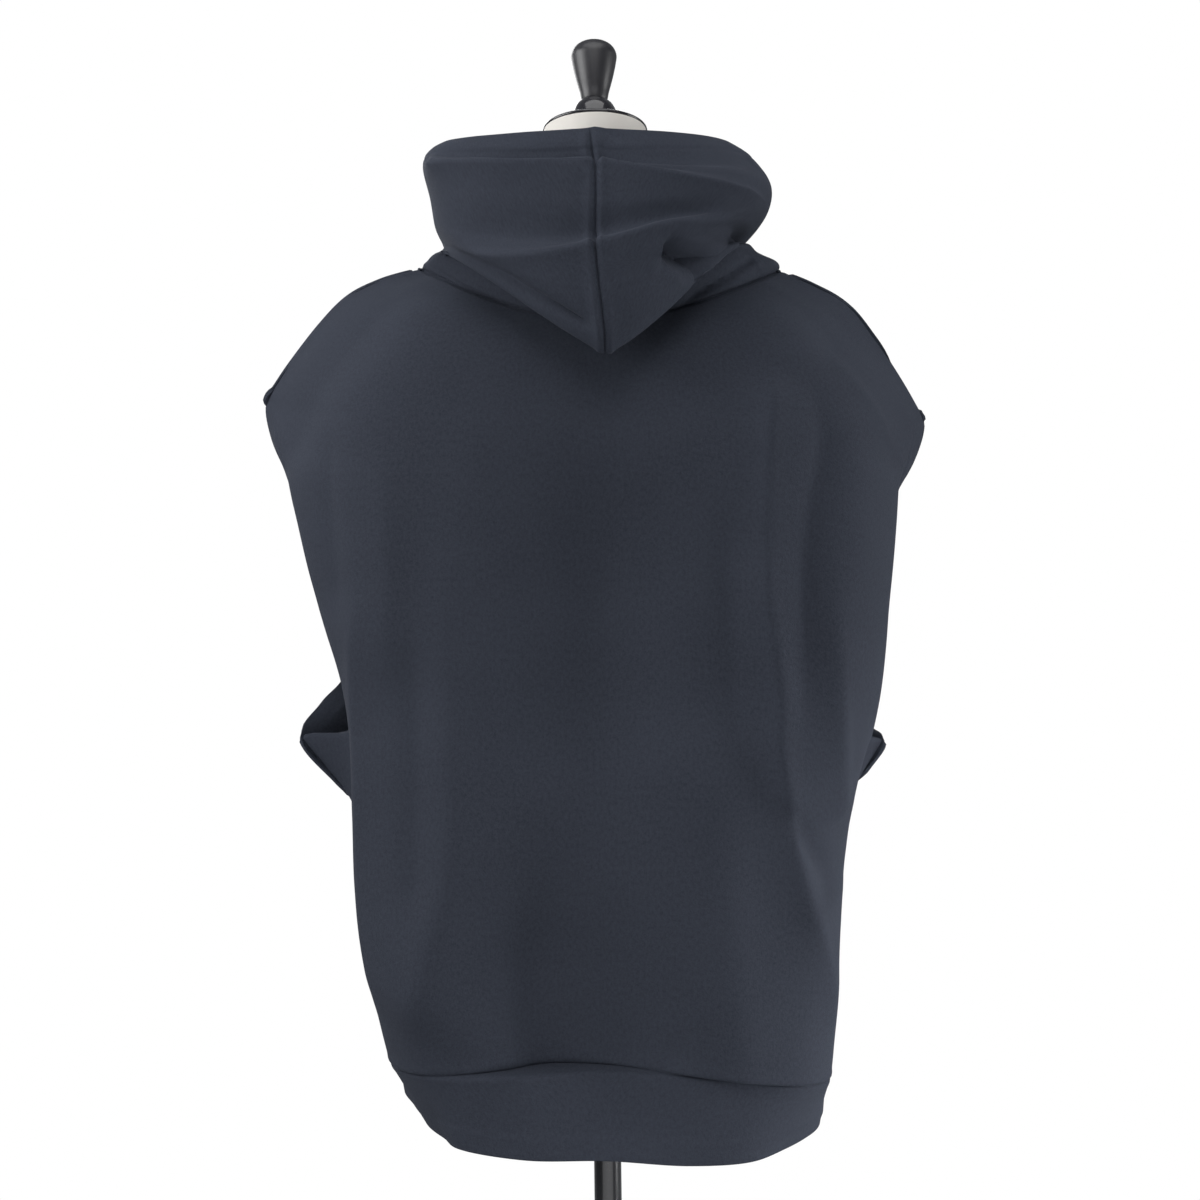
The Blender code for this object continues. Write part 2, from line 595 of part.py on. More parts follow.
def turned(collection, name, profile, steps, material, seat=(0, 0, 0), tilt=0.0):
    """A turned piece. Its profile runs from the top to the bottom as (radius, height)."""
    bm = bmesh.new()
    verts = [bm.verts.new((radius, 0, height)) for radius, height in profile]
    for a, b in zip(verts, verts[1:]):
        bm.edges.new((a, b))
    piece = add(collection, name, bm, material)
    piece.location = seat
    piece.rotation_euler = (tilt, 0, 0)
    screw = piece.modifiers.new("Turn", "SCREW")
    screw.axis = "Z"
    screw.steps = screw.render_steps = steps
    screw.use_merge_vertices = True
    screw.merge_threshold = 1e-5
    screw.use_smooth_shade = True
    return piece


def cap_axis_point(distance):
    """A point on the leaning axis of the neck cap and knob."""
    return CAP_SEAT + Vector((0, -math.sin(CAP_TILT), math.cos(CAP_TILT))) * distance


def neck_cap(collection, material):
    edge = CAP_THICKNESS / 4
    profile = (
        (0, CAP_THICKNESS),
        (CAP_RADIUS - edge, CAP_THICKNESS),
        (CAP_RADIUS, CAP_THICKNESS - edge),
        (CAP_RADIUS, edge),
        (CAP_RADIUS - edge, 0),
        (0, 0),
    )
    return turned(collection, "neck_cap", profile, 40, material, cap_axis_point(SEAM_GAP), CAP_TILT)


def finial(collection, material):
    profile = [(turn.radius, turn.along) for turn in FINIAL] + [(0, 0)]
    seat = cap_axis_point(CAP_THICKNESS + 2 * SEAM_GAP)
    return turned(collection, "finial", profile, 28, material, seat, CAP_TILT)


def base(collection, material):
    hole = POLE_RADIUS + SEAM_GAP
    profile = (
        (0, SOCKET_FLOOR),
        (hole, SOCKET_FLOOR),
        (hole, BOSS_TOP),
        (BOSS_RADIUS - BOSS_ROUND, BOSS_TOP),
        (BOSS_RADIUS, BOSS_TOP - BOSS_ROUND),
        (BOSS_RADIUS, BASE_CROWN + BOSS_ROUND),
        (BOSS_RADIUS + BOSS_ROUND, BASE_CROWN),
        (BASE_RADIUS - BASE_BREAK, BASE_EDGE),
        (BASE_RADIUS, BASE_EDGE - BASE_BREAK / 3),
        (BASE_RADIUS, 0),
        (0, 0),
    )
    return turned(collection, "base", profile, 56, material)


def pole_socket(collection, material):
    """The flange and collar under the torso, bored from below for the pole."""
    top = TORSO[0].height - SEAM_GAP
    low = top - SOCKET_LENGTH
    hole = POLE_RADIUS + SEAM_GAP
    profile = (
        (0, top),
        (FLANGE_RADIUS, top),
        (FLANGE_RADIUS, top - FLANGE_THICKNESS),
        (BOSS_RADIUS, top - FLANGE_THICKNESS - BOSS_ROUND),
        (BOSS_RADIUS, low),
        (hole, low),
        (hole, top - FLANGE_THICKNESS),
        (0, top - FLANGE_THICKNESS),
    )
    return turned(collection, "pole_socket", profile, 32, material)


def pole(collection, material):
    low = SOCKET_FLOOR + SEAM_GAP
    high = TORSO[0].height - 2 * SEAM_GAP - FLANGE_THICKNESS
    bm = bmesh.new()
    bmesh.ops.create_cone(
        bm,
        cap_ends=True,
        segments=32,
        radius1=POLE_RADIUS,
        radius2=POLE_RADIUS,
        depth=high - low,
    )
    piece = add(collection, "pole", bm, material)
    piece.location.z = (low + high) / 2
    return piece


# ---------------------------------------------------------------- the whole


def main():
    clear_scene()
    whole_thing = bpy.data.collections.new("Sleeveless hoodie on a dress form")
    bpy.context.scene.collection.children.link(whole_thing)

    jersey = finish("charcoal_jersey", (0.030, 0.035, 0.046), 0.85)
    padding = finish("form_jersey", (0.84, 0.81, 0.76), 0.9)
    lacquer = finish("black_lacquer", (0.018, 0.018, 0.021), 0.28)
    steel = finish("black_steel", (0.020, 0.020, 0.023), 0.2, 0.4)

    form = torso(whole_thing, padding)
    neck_cap(whole_thing, lacquer)
    finial(whole_thing, lacquer)
    pole_socket(whole_thing, steel)
    pole(whole_thing, steel)
    base(whole_thing, steel)

    back, front = body_panels()
    lay_on(form, back)
    lay_on(form, front)
    match_sides(back, front)
    left = hood_half(back, front, 1)
    right = hood_half(back, front, -1)
    lay_on(form, left)
    lay_on(form, right)
    ring = band(back, front)
    back, front, left, right, ring = sew(back, front, left, right, ring)
    cloth(whole_thing, "back_panel", back, -1, jersey)
    cloth(whole_thing, "front_panel", front, 1, jersey)
    cloth(whole_thing, "hood_left", left, -1, jersey)
    cloth(whole_thing, "hood_right", right, 1, jersey)
    cloth(whole_thing, "hem_band", ring, -1, jersey, closed=True)


if __name__ == "__main__":
    main()
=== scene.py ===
"""The looks of a sleeveless hoodie on a limbless dress form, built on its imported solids.

Metres, +Z up. The garment's front faces -Y and its left side is +X. Each cut piece of cloth is a
grid bent through its own named lines, then lifted along its folds and pressed in at its seams. The
lines give the outer face of the cloth, and the thickness goes inside it.
"""

import functools
import math
from collections import namedtuple

import bmesh
import bpy
import numpy as np
from mathutils import Matrix, Vector, noise
from mathutils.bvhtree import BVHTree


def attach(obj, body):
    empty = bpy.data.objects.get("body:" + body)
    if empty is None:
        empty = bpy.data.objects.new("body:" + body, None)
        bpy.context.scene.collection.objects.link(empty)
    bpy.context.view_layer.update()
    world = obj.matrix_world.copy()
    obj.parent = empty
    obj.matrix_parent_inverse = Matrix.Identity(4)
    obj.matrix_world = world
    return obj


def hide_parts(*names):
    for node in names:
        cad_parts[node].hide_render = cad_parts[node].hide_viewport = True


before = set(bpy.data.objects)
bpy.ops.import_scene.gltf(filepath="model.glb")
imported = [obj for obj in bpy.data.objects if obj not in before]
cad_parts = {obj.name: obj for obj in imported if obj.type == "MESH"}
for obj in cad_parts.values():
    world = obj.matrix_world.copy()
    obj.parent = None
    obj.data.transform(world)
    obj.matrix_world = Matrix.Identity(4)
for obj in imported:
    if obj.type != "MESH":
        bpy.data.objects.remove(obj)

bl_info = {
    "name": "Sleeveless Hoodie on a Dress Form",
    "version": (1, 0, 0),
    "blender": (4, 5, 0),
    "location": "View3D > Sidebar > Hoodie",
    "description": "Cuts, drapes and finishes a sleeveless hoodie, its dress form and its stand",
    "category": "Add Mesh",
}

BODY = "root"

# Dress form and stand
CAP_TILT = math.radians(12)  # the neck leans forward, and its cap with it
CAP_SEAT = Vector((0.0, -0.0055, 1.3000))
CAP_THICKNESS = 0.0035
CAP_EDGE_STEPS = 9
SEAT_GAP = 0.0003  # between turned pieces that rest on each other
BOSS_RADIUS = 0.0205
BOSS_TOP = 0.042
SOCKET_FLOOR = 0.005
SOCKET_LENGTH = 0.045
FLANGE_RADIUS = 0.055
FLANGE_THICKNESS = 0.005
FLANGE_EDGE = 0.0008
FILLET = 0.005  # from the socket's tube out to its flange
FILLET_MIDDLE = 0.0012
ROUND = 0.001  # of the socket's and the pole's ends
CHAMFER = 0.0006  # of the holes that take the pole
TURNED_SIDES = 96
BASE_SIDES = 160

# The base's outline from below, as (distance past its rim or its boss, height)
BASE_RIM = (
    (-0.0015, 0.0), (0.0, 0.0012), (0.0, 0.0030), (-0.0006, 0.0048), (-0.0022, 0.0062),
    (-0.0050, 0.007),
)
BASE_SLOPE = (0.6, 0.0086)  # share of the radius, height
BASE_BOSS = (
    (0.012, 0.0101), (0.0035, 0.011), (0.0012, 0.0121), (0.0, 0.0145), (0.0, BOSS_TOP - 0.003),
    (-0.0009, BOSS_TOP - 0.0009), (-0.003, BOSS_TOP),
)

# Steps of the grids between neighbouring lines
BACK_ACROSS = (20, 20, 24, 18, 16)  # from the centre line out to the edge
FRONT_ACROSS = (20, 18, 16, 10)
BODY_ALONG = (16, 14, 14, 14, 6, 10, 16, 16, 10, 8, 8, 6, 20, 8, 8)
HOOD_ALONG = (6, 10, 10, 14, 8, 10, 10, 8, 14, 14, 8, 14, 12)
BAND_ALONG = 24
SEAM_STEPS = (0.12, 0.25, 0.40, 0.56, 0.75, 1.30, 1.65)  # finer steps beside a seam, in plain steps
HEM_STEPS = 24
OUTLINE_STEPS = 400
FOLD_STEPS = 5

# Where the sides of the body panels run. Heights are of the left and right edge, which hangs lower.
Edge = namedtuple("Edge", "left left_height right right_height depth")
SIDE_SEAM = (
    Edge(0.1960, 0.452, 0.2060, 0.432, -0.050),
    Edge(0.222, 0.542, 0.214, 0.528, -0.052),
    Edge(0.229, 0.612, 0.222, 0.602, -0.055),
    Edge(0.236, 0.680, 0.240, 0.692, -0.057),
    Edge(0.285, 0.743, 0.266, 0.732, -0.060),
)
BACK_ARMHOLE = (
    Edge(0.232, 0.752, 0.238, 0.745, -0.034),
    Edge(0.223, 0.792, 0.238, 0.786, -0.020),
    Edge(0.237, 0.865, 0.240, 0.860, -0.012),
    Edge(0.260, 0.940, 0.249, 0.925, -0.004),
    Edge(0.286, 0.990, 0.2725, 0.9655, 0.006),
    Edge(0.3010, 1.021, 0.2900, 0.996, -0.002),
)
FRONT_ARMHOLE = (
    Edge(0.270, 0.774, 0.257, 0.746, -0.098),
    Edge(0.249, 0.801, 0.248, 0.777, -0.120),
    Edge(0.239, 0.869, 0.241, 0.852, -0.128),
    Edge(0.246, 0.945, 0.246, 0.925, -0.112),
    Edge(0.270, 1.000, 0.265, 0.980, -0.080),
    Edge(0.292, 1.034, 0.286, 1.011, -0.045),
)
SHOULDER = (
    Edge(0.3085, 1.056, 0.302, 1.031, -0.015),
    Edge(0.2990, 1.0730, 0.2942, 1.0470, -0.0130),
    Edge(0.240, 1.1457, 0.235, 1.1363, -0.004),
    Edge(0.201, 1.1665, 0.200, 1.1578, -0.001),
    Edge(0.1615, 1.1765, 0.168, 1.1705, 0.000),
)

# Sections of the back, from the band seam up to the neck seam. Depths are of the centre line, the
# blade, the corner, the soft fold that makes the outline, and the tuck that runs forward from it.
Back = namedtuple(
    "Back",
    "height centre blade corner fold tuck fold_left fold_right tuck_left tuck_right",
)
BACK = (
    Back(0.460, 0.102, 0.117, 0.095, 0.030, -0.015, 0.1950, 0.2020, 0.1975, 0.2055),
    Back(0.540, 0.119, 0.128, 0.108, 0.040, -0.008, 0.2127, 0.2077, 0.2150, 0.2080),
    Back(0.610, 0.129, 0.132, 0.112, 0.045, -0.005, 0.2217, 0.2126, 0.2180, 0.2110),
    Back(0.676, 0.127, 0.131, 0.114, 0.050, -0.002, 0.2217, 0.2235, 0.2140, 0.2160),
    Back(0.742, 0.124, 0.130, 0.115, 0.052, 0.000, 0.2240, 0.2364, 0.2130, 0.2250),
    Back(0.766, 0.123, 0.130, 0.115, 0.052, 0.004, 0.2242, 0.2407, 0.2120, 0.2290),
    Back(0.800, 0.121, 0.130, 0.114, 0.050, 0.012, 0.2312, 0.2506, 0.2200, 0.2400),
    Back(0.868, 0.117, 0.127, 0.111, 0.048, 0.015, 0.2530, 0.2586, 0.2440, 0.2480),
    Back(0.938, 0.114, 0.124, 0.107, 0.046, 0.018, 0.2710, 0.2660, 0.2670, 0.2590),
    Back(0.972, 0.115, 0.122, 0.104, 0.044, 0.024, 0.2790, 0.2680, 0.2850, 0.2710),
    Back(0.988, 0.116, 0.121, 0.101, 0.043, 0.020, 0.2740, 0.2650, 0.2920, 0.2800),
    Back(1.005, 0.117, 0.120, 0.098, 0.043, 0.012, 0.2630, 0.2600, 0.2890, 0.2830),
    Back(1.024, 0.1160, 0.1175, 0.096, 0.0455, 0.015, 0.2540, 0.2500, 0.2795, 0.2750),
    Back(1.080, 0.107, 0.104, 0.085, 0.050, 0.022, 0.2000, 0.1960, 0.2220, 0.2160),
    Back(1.102, 0.099, 0.093, 0.073, 0.044, 0.020, 0.1700, 0.1680, 0.1870, 0.1840),
    Back(1.118, 0.090, 0.081, 0.056, 0.031, 0.014, 0.1420, 0.1470, 0.1520, 0.1580),
)
BLADE_SHARE = 0.45  # of the fold's distance from the centre line
CORNER_SHARE = 0.83

# Sections of the front at the same levels. Shares are of the edge's distance from the centre line.
Front = namedtuple("Front", "height centre middle bend bend_share outer outer_share")
FRONT = (
    Front(0.446, -0.186, -0.177, -0.156, 0.87, -0.115, 1.02),
    Front(0.540, -0.183, -0.175, -0.153, 0.84, -0.115, 0.985),
    Front(0.610, -0.181, -0.172, -0.150, 0.82, -0.114, 0.965),
    Front(0.676, -0.178, -0.170, -0.140, 0.80, -0.100, 0.945),
    Front(0.742, -0.175, -0.164, -0.116, 0.76, -0.078, 0.920),
    Front(0.766, -0.173, -0.163, -0.128, 0.78, -0.102, 0.930),
    Front(0.800, -0.171, -0.162, -0.142, 0.78, -0.126, 0.930),
    Front(0.865, -0.166, -0.158, -0.147, 0.78, -0.135, 0.930),
    Front(0.935, -0.160, -0.154, -0.143, 0.76, -0.128, 0.920),
    Front(0.965, -0.154, -0.149, -0.133, 0.76, -0.108, 0.920),
    Front(0.983, -0.149, -0.144, -0.122, 0.76, -0.085, 0.920),
    Front(1.000, -0.144, -0.138, -0.108, 0.76, -0.058, 0.920),
    Front(1.016, -0.139, -0.132, -0.101, 0.76, -0.052, 0.920),
    Front(1.055, -0.123, -0.112, -0.079, 0.76, -0.037, 0.920),
    Front(1.075, -0.115, -0.101, -0.067, 0.78, -0.031, 0.930),
    Front(1.090, -0.108, -0.092, -0.060, 0.80, -0.025, 0.950),
)
MIDDLE_SHARE = 0.50

# The hem: a row for each turn of its lower edge, round from the centre back to the centre front.
Hem = namedtuple("Hem", "left left_depth left_height right right_depth right_height")
HEM = (
    Hem(0.0000, 0.118, 0.385, 0.0000, 0.118, 0.385),
    Hem(0.0700, 0.116, 0.386, 0.0700, 0.119, 0.380),
    Hem(0.1300, 0.094, 0.391, 0.1230, 0.111, 0.3805),
    Hem(0.1450, 0.062, 0.3925, 0.1570, 0.079, 0.3835),
    Hem(0.1600, 0.028, 0.394, 0.1820, 0.030, 0.3820),
    Hem(0.1700, -0.012, 0.395, 0.1945, -0.010, 0.3800),
    Hem(0.1805, -0.050, 0.396, 0.2010, -0.050, 0.3780),
    Hem(0.1950, -0.118, 0.397, 0.2070, -0.118, 0.377),
    Hem(0.1740, -0.163, 0.397, 0.1830, -0.166, 0.381),
    Hem(0.1000, -0.190, 0.394, 0.1020, -0.191, 0.387),
    Hem(0.0000, -0.199, 0.391, 0.0000, -0.199, 0.391),
)

# The hood: an entry for each line from the neck seam to the rim of the face opening. Behind, the
# lines go up to a hidden crest, down inside the pouch to its bottom roll, and up its outer face
# over two soft ridges. Rise is 1 for a line that runs straight down to a point at the centre seam,
# more for a round one, and round is 2 for an ellipse seen from above, more for a squarer one.
Line = namedtuple(
    "Line",
    "seam depth height side round left left_height left_rise right right_height right_rise"
    " front front_height",
)
HOOD = (
    Line(0.000, 0.099, 1.147, 0.000, 1.70,
         0.1590, 1.1795, 1.8, 0.1665, 1.1778, 1.8, -0.1085, 1.0925),
    Line(0.000, 0.113, 1.181, 0.001, 1.90,
         0.1545, 1.1830, 2.4, 0.1480, 1.1860, 2.4, -0.1095, 1.0945),
    Line(-0.003, 0.134, 1.140, 0.003, 2.00,
         0.1490, 1.1868, 1.3, 0.1410, 1.1920, 1.2, -0.1105, 1.0965),
    Line(-0.006, 0.153, 1.079, 0.006, 2.05,
         0.1430, 1.1888, 1.12, 0.1275, 1.1935, 1.35, -0.1115, 1.0985),
    Line(-0.006, 0.166, 1.093, 0.009, 2.10,
         0.1388, 1.1910, 1.1, 0.1218, 1.1976, 1.4, -0.1125, 1.1000),
    Line(-0.002, 0.173, 1.135, 0.012, 2.10,
         0.1400, 1.1965, 2.0, 0.1236, 1.2036, 1.2, -0.1132, 1.1015),
    Line(0.001, 0.168, 1.170, 0.014, 2.15,
         0.1432, 1.2030, 3.4, 0.1410, 1.2068, 0.8, -0.1140, 1.1030),
    Line(0.001, 0.156, 1.181, 0.015, 2.20,
         0.1460, 1.2100, 3.4, 0.1530, 1.2145, 0.8, -0.1147, 1.1045),
    Line(0.000, 0.151, 1.212, 0.016, 2.30,
         0.1500, 1.2360, 2.0, 0.1595, 1.2290, 1.5, -0.1160, 1.1070),
    Line(0.000, 0.141, 1.246, 0.018, 2.30,
         0.1560, 1.2640, 1.8, 0.1600, 1.2410, 0.6, -0.1180, 1.1100),
    Line(0.001, 0.121, 1.246, 0.019, 2.20,
         0.1545, 1.2720, 1.8, 0.1560, 1.2520, 0.6, -0.1190, 1.1120),
    Line(0.003, 0.109, 1.266, 0.018, 2.10,
         0.1480, 1.2800, 2.0, 0.1430, 1.2685, 1.5, -0.1205, 1.1145),
    Line(0.004, 0.100, 1.281, 0.016, 2.00,
         0.1400, 1.2850, 3.0, 0.1270, 1.2800, 3.0, -0.1220, 1.1170),
)
HOOD_FRONT_ROUND = 2.0
HOOD_FRONT_FALL = 1.3
STAND_TO = 2  # lines from the neck seam to the crest of the part that stands up
POUCH_FROM = 3  # lines from the neck seam before the pouch's outer face begins

# The padded torso, from its underside to the top of the neck
Ring = namedtuple("Ring", "height half_width back front square ridge lean tip")
TORSO = (
    Ring(0.565, 0.140, 0.086, -0.083, 2.3, 0.87, 0.0, 0.0),
    Ring(0.572, 0.158, 0.099, -0.095, 2.3, 0.87, 0.0, 0.0),
    Ring(0.590, 0.168, 0.108, -0.104, 2.3, 0.87, 0.0, 0.0),
    Ring(0.640, 0.173, 0.111, -0.108, 2.3, 0.87, 0.0, 0.0),
    Ring(0.700, 0.170, 0.106, -0.106, 2.3, 0.87, 0.0, 0.0),
    Ring(0.770, 0.158, 0.096, -0.102, 2.3, 0.87, 0.0, 0.0),
    Ring(0.840, 0.150, 0.090, -0.100, 2.3, 0.87, 0.0, 0.0),
    Ring(0.900, 0.158, 0.098, -0.108, 2.3, 0.87, 0.0, 0.0),
    Ring(0.970, 0.175, 0.106, -0.115, 2.3, 0.87, 0.0, 0.0),
    Ring(1.020, 0.193, 0.106, -0.113, 2.3, 0.87, 0.0, 0.0),
    Ring(1.060, 0.210, 0.099, -0.105, 2.2, 0.92, 0.0, 0.0),
    Ring(1.100, 0.217, 0.086, -0.092, 2.1, 1.15, 0.0, 0.004),
    Ring(1.130, 0.217, 0.080, -0.087, 2.0, 1.50, 0.0, 0.007),
    Ring(1.151, 0.199, 0.071, -0.081, 2.0, 1.84, 0.0, 0.007),
    Ring(1.163, 0.1755, 0.066, -0.077, 2.0, 1.96, 0.0, 0.008),
    Ring(1.172, 0.150, 0.062, -0.073, 2.0, 1.82, 0.0, 0.008),
    Ring(1.186, 0.106, 0.059, -0.067, 2.0, 1.50, 0.0, 0.0),
    Ring(1.200, 0.074, 0.054, -0.061, 2.0, 1.20, 0.03, 0.0),
    Ring(1.220, 0.058, 0.049, -0.056, 2.0, 1.00, 0.07, 0.0),
    Ring(1.250, 0.051, 0.045, -0.0535, 2.0, 1.00, 0.12, 0.0),
    Ring(1.300, 0.047, 0.0415, -0.0525, 2.0, 1.00, math.tan(CAP_TILT), 0.0),
)
TORSO_SIDES = 160
TORSO_STEPS = 5  # between neighbouring rings

# Radius of the collar and knob, by the distance from the neck cap
Turn = namedtuple("Turn", "along radius")
KNOB_STEPS = 4  # between neighbouring radii
KNOB_TIP = 1e-4  # radius at which the knob's top is closed
KNOB = (
    Turn(0.0272, 0.0100),
    Turn(0.0283, 0.0116),
    Turn(0.0300, 0.0122),
    Turn(0.0370, 0.0135),
    Turn(0.0470, 0.0162),
    Turn(0.0580, 0.0188),
    Turn(0.0670, 0.0205),
    Turn(0.0730, 0.0212),
    Turn(0.0775, 0.0200),
    Turn(0.0815, 0.0172),
    Turn(0.0845, 0.0128),
    Turn(0.0863, 0.0072),
    Turn(0.0870, 0.0000),
)
COLLAR_STEPS = 5
COLLAR = (
    Turn(0.0000, 0.0218),
    Turn(0.0090, 0.0214),
    Turn(0.0180, 0.0198),
    Turn(0.0240, 0.0168),
    Turn(0.0272, 0.0132),
    Turn(0.0285, 0.0090),
)

# A fold lifts the cloth by its height along its line, a hollow sinks it. Points of the line are
# (x, z, share of the height). Left and right are how far it takes to die away on the left and the
# right hand of someone who walks along the line on a plan of x and z, and soft is how round its
# crest is.
Fold = namedtuple("Fold", "line height left right soft")
BACK_FOLDS = (
    Fold(  # the ridge beside the left outline
        ((0.2140, 0.900, 0.0), (0.2135, 0.840, 0.6), (0.2125, 0.780, 1.0), (0.2105, 0.700, 1.0),
         (0.2095, 0.606, 1.0), (0.204, 0.540, 0.7), (0.197, 0.490, 0.2)),
        0.0095, 0.012, 0.012, 0.003,
    ),
    Fold(  # the softer one above it
        ((0.188, 1.010, 0.0), (0.186, 0.960, 0.8), (0.184, 0.900, 1.0), (0.185, 0.840, 0.9),
         (0.188, 0.790, 0.2)),
        0.0050, 0.018, 0.018, 0.006,
    ),
    Fold(  # the hollow at its left
        ((0.236, 1.030, 0.2), (0.240, 0.990, 1.0), (0.238, 0.930, 1.0), (0.236, 0.880, 0.8),
         (0.232, 0.840, 0.0)),
        -0.0070, 0.012, 0.016, 0.005,
    ),
    Fold(  # the soft trough at their right
        ((0.163, 0.860, 0.0), (0.161, 0.800, 0.7), (0.160, 0.740, 1.0), (0.161, 0.680, 1.0),
         (0.163, 0.620, 0.8), (0.172, 0.560, 0.0)),
        -0.0060, 0.016, 0.018, 0.007,
    ),
    Fold(  # the long soft ridge that swings out to the left at the hem
        ((0.1234, 1.036, 0.0), (0.1285, 0.906, 0.6), (0.1294, 0.734, 0.7), (0.1306, 0.640, 1.0),
         (0.1418, 0.588, 1.0), (0.1608, 0.526, 0.9), (0.1744, 0.4885, 0.4)),
        0.0150, 0.025, 0.038, 0.014,
    ),
    Fold(  # the crisp ridge on the right, whose far side falls away
        ((-0.152, 1.075, 0.0), (-0.151, 1.040, 0.8), (-0.147, 0.990, 0.6), (-0.1429, 0.903, 0.7),
         (-0.1439, 0.868, 1.0), (-0.1469, 0.849, 1.0), (-0.1536, 0.778, 1.0), (-0.1524, 0.743, 1.0),
         (-0.1622, 0.672, 1.0), (-0.1725, 0.609, 0.9), (-0.1931, 0.522, 0.7),
         (-0.1997, 0.462, 0.3)),
        0.0140, 0.014, 0.022, 0.002,
    ),
    Fold(  # the hollow at its left
        ((-0.112, 0.960, 0.0), (-0.112, 0.900, 1.0), (-0.114, 0.850, 1.0), (-0.116, 0.790, 0.6),
         (-0.118, 0.740, 0.0)),
        -0.0055, 0.016, 0.016, 0.006,
    ),
    Fold(  # the dark hollow between it and the right outline
        ((-0.190, 1.050, 0.3), (-0.196, 1.000, 0.8), (-0.186, 0.950, 1.0), (-0.180, 0.900, 1.0),
         (-0.178, 0.850, 0.9), (-0.176, 0.790, 0.5), (-0.174, 0.730, 0.0)),
        -0.0105, 0.013, 0.016, 0.006,
    ),
    Fold(  # the lighter strip along the right outline
        ((-0.206, 0.900, 0.0), (-0.206, 0.840, 0.5), (-0.206, 0.780, 0.7), (-0.205, 0.730, 1.0),
         (-0.204, 0.690, 1.0), (-0.200, 0.665, 0.0)),
        0.0085, 0.012, 0.010, 0.004,
    ),
    Fold(  # the tuck that ends them below
        ((-0.150, 0.705, 0.0), (-0.166, 0.672, 0.8), (-0.182, 0.645, 1.0), (-0.196, 0.622, 0.8),
         (-0.206, 0.605, 0.0)),
        -0.0110, 0.012, 0.011, 0.004,
    ),
    Fold(  # the shoulder fold that runs out to the right edge
        ((-0.205, 1.088, 0.0), (-0.216, 1.071, 0.7), (-0.242, 1.039, 1.0), (-0.266, 1.001, 0.4)),
        0.0055, 0.012, 0.024, 0.003,
    ),
    Fold(  # the hollow over the band at the left
        ((0.050, 0.700, 0.0), (0.060, 0.620, 0.6), (0.062, 0.560, 1.0), (0.060, 0.500, 1.0),
         (0.052, 0.452, 0.7)),
        -0.0260, 0.036, 0.048, 0.020,
    ),
    Fold(  # the swell of the seat over the band
        ((-0.090, 0.800, 0.0), (-0.098, 0.720, 0.8), (-0.104, 0.640, 1.0), (-0.110, 0.540, 1.0),
         (-0.115, 0.455, 0.8)),
        0.0110, 0.050, 0.030, 0.018,
    ),
    Fold(  # the small of the back
        ((0.000, 1.060, 0.0), (-0.004, 0.980, 0.3), (0.000, 0.870, 1.0), (0.002, 0.790, 1.0),
         (0.004, 0.720, 0.4), (0.004, 0.660, 0.0)),
        -0.0160, 0.050, 0.060, 0.030,
    ),
    Fold(  # a small dent over the band
        ((-0.046, 0.500, 0.0), (-0.058, 0.478, 1.0), (-0.066, 0.455, 0.0)),
        -0.0024, 0.012, 0.012, 0.003,
    ),
)
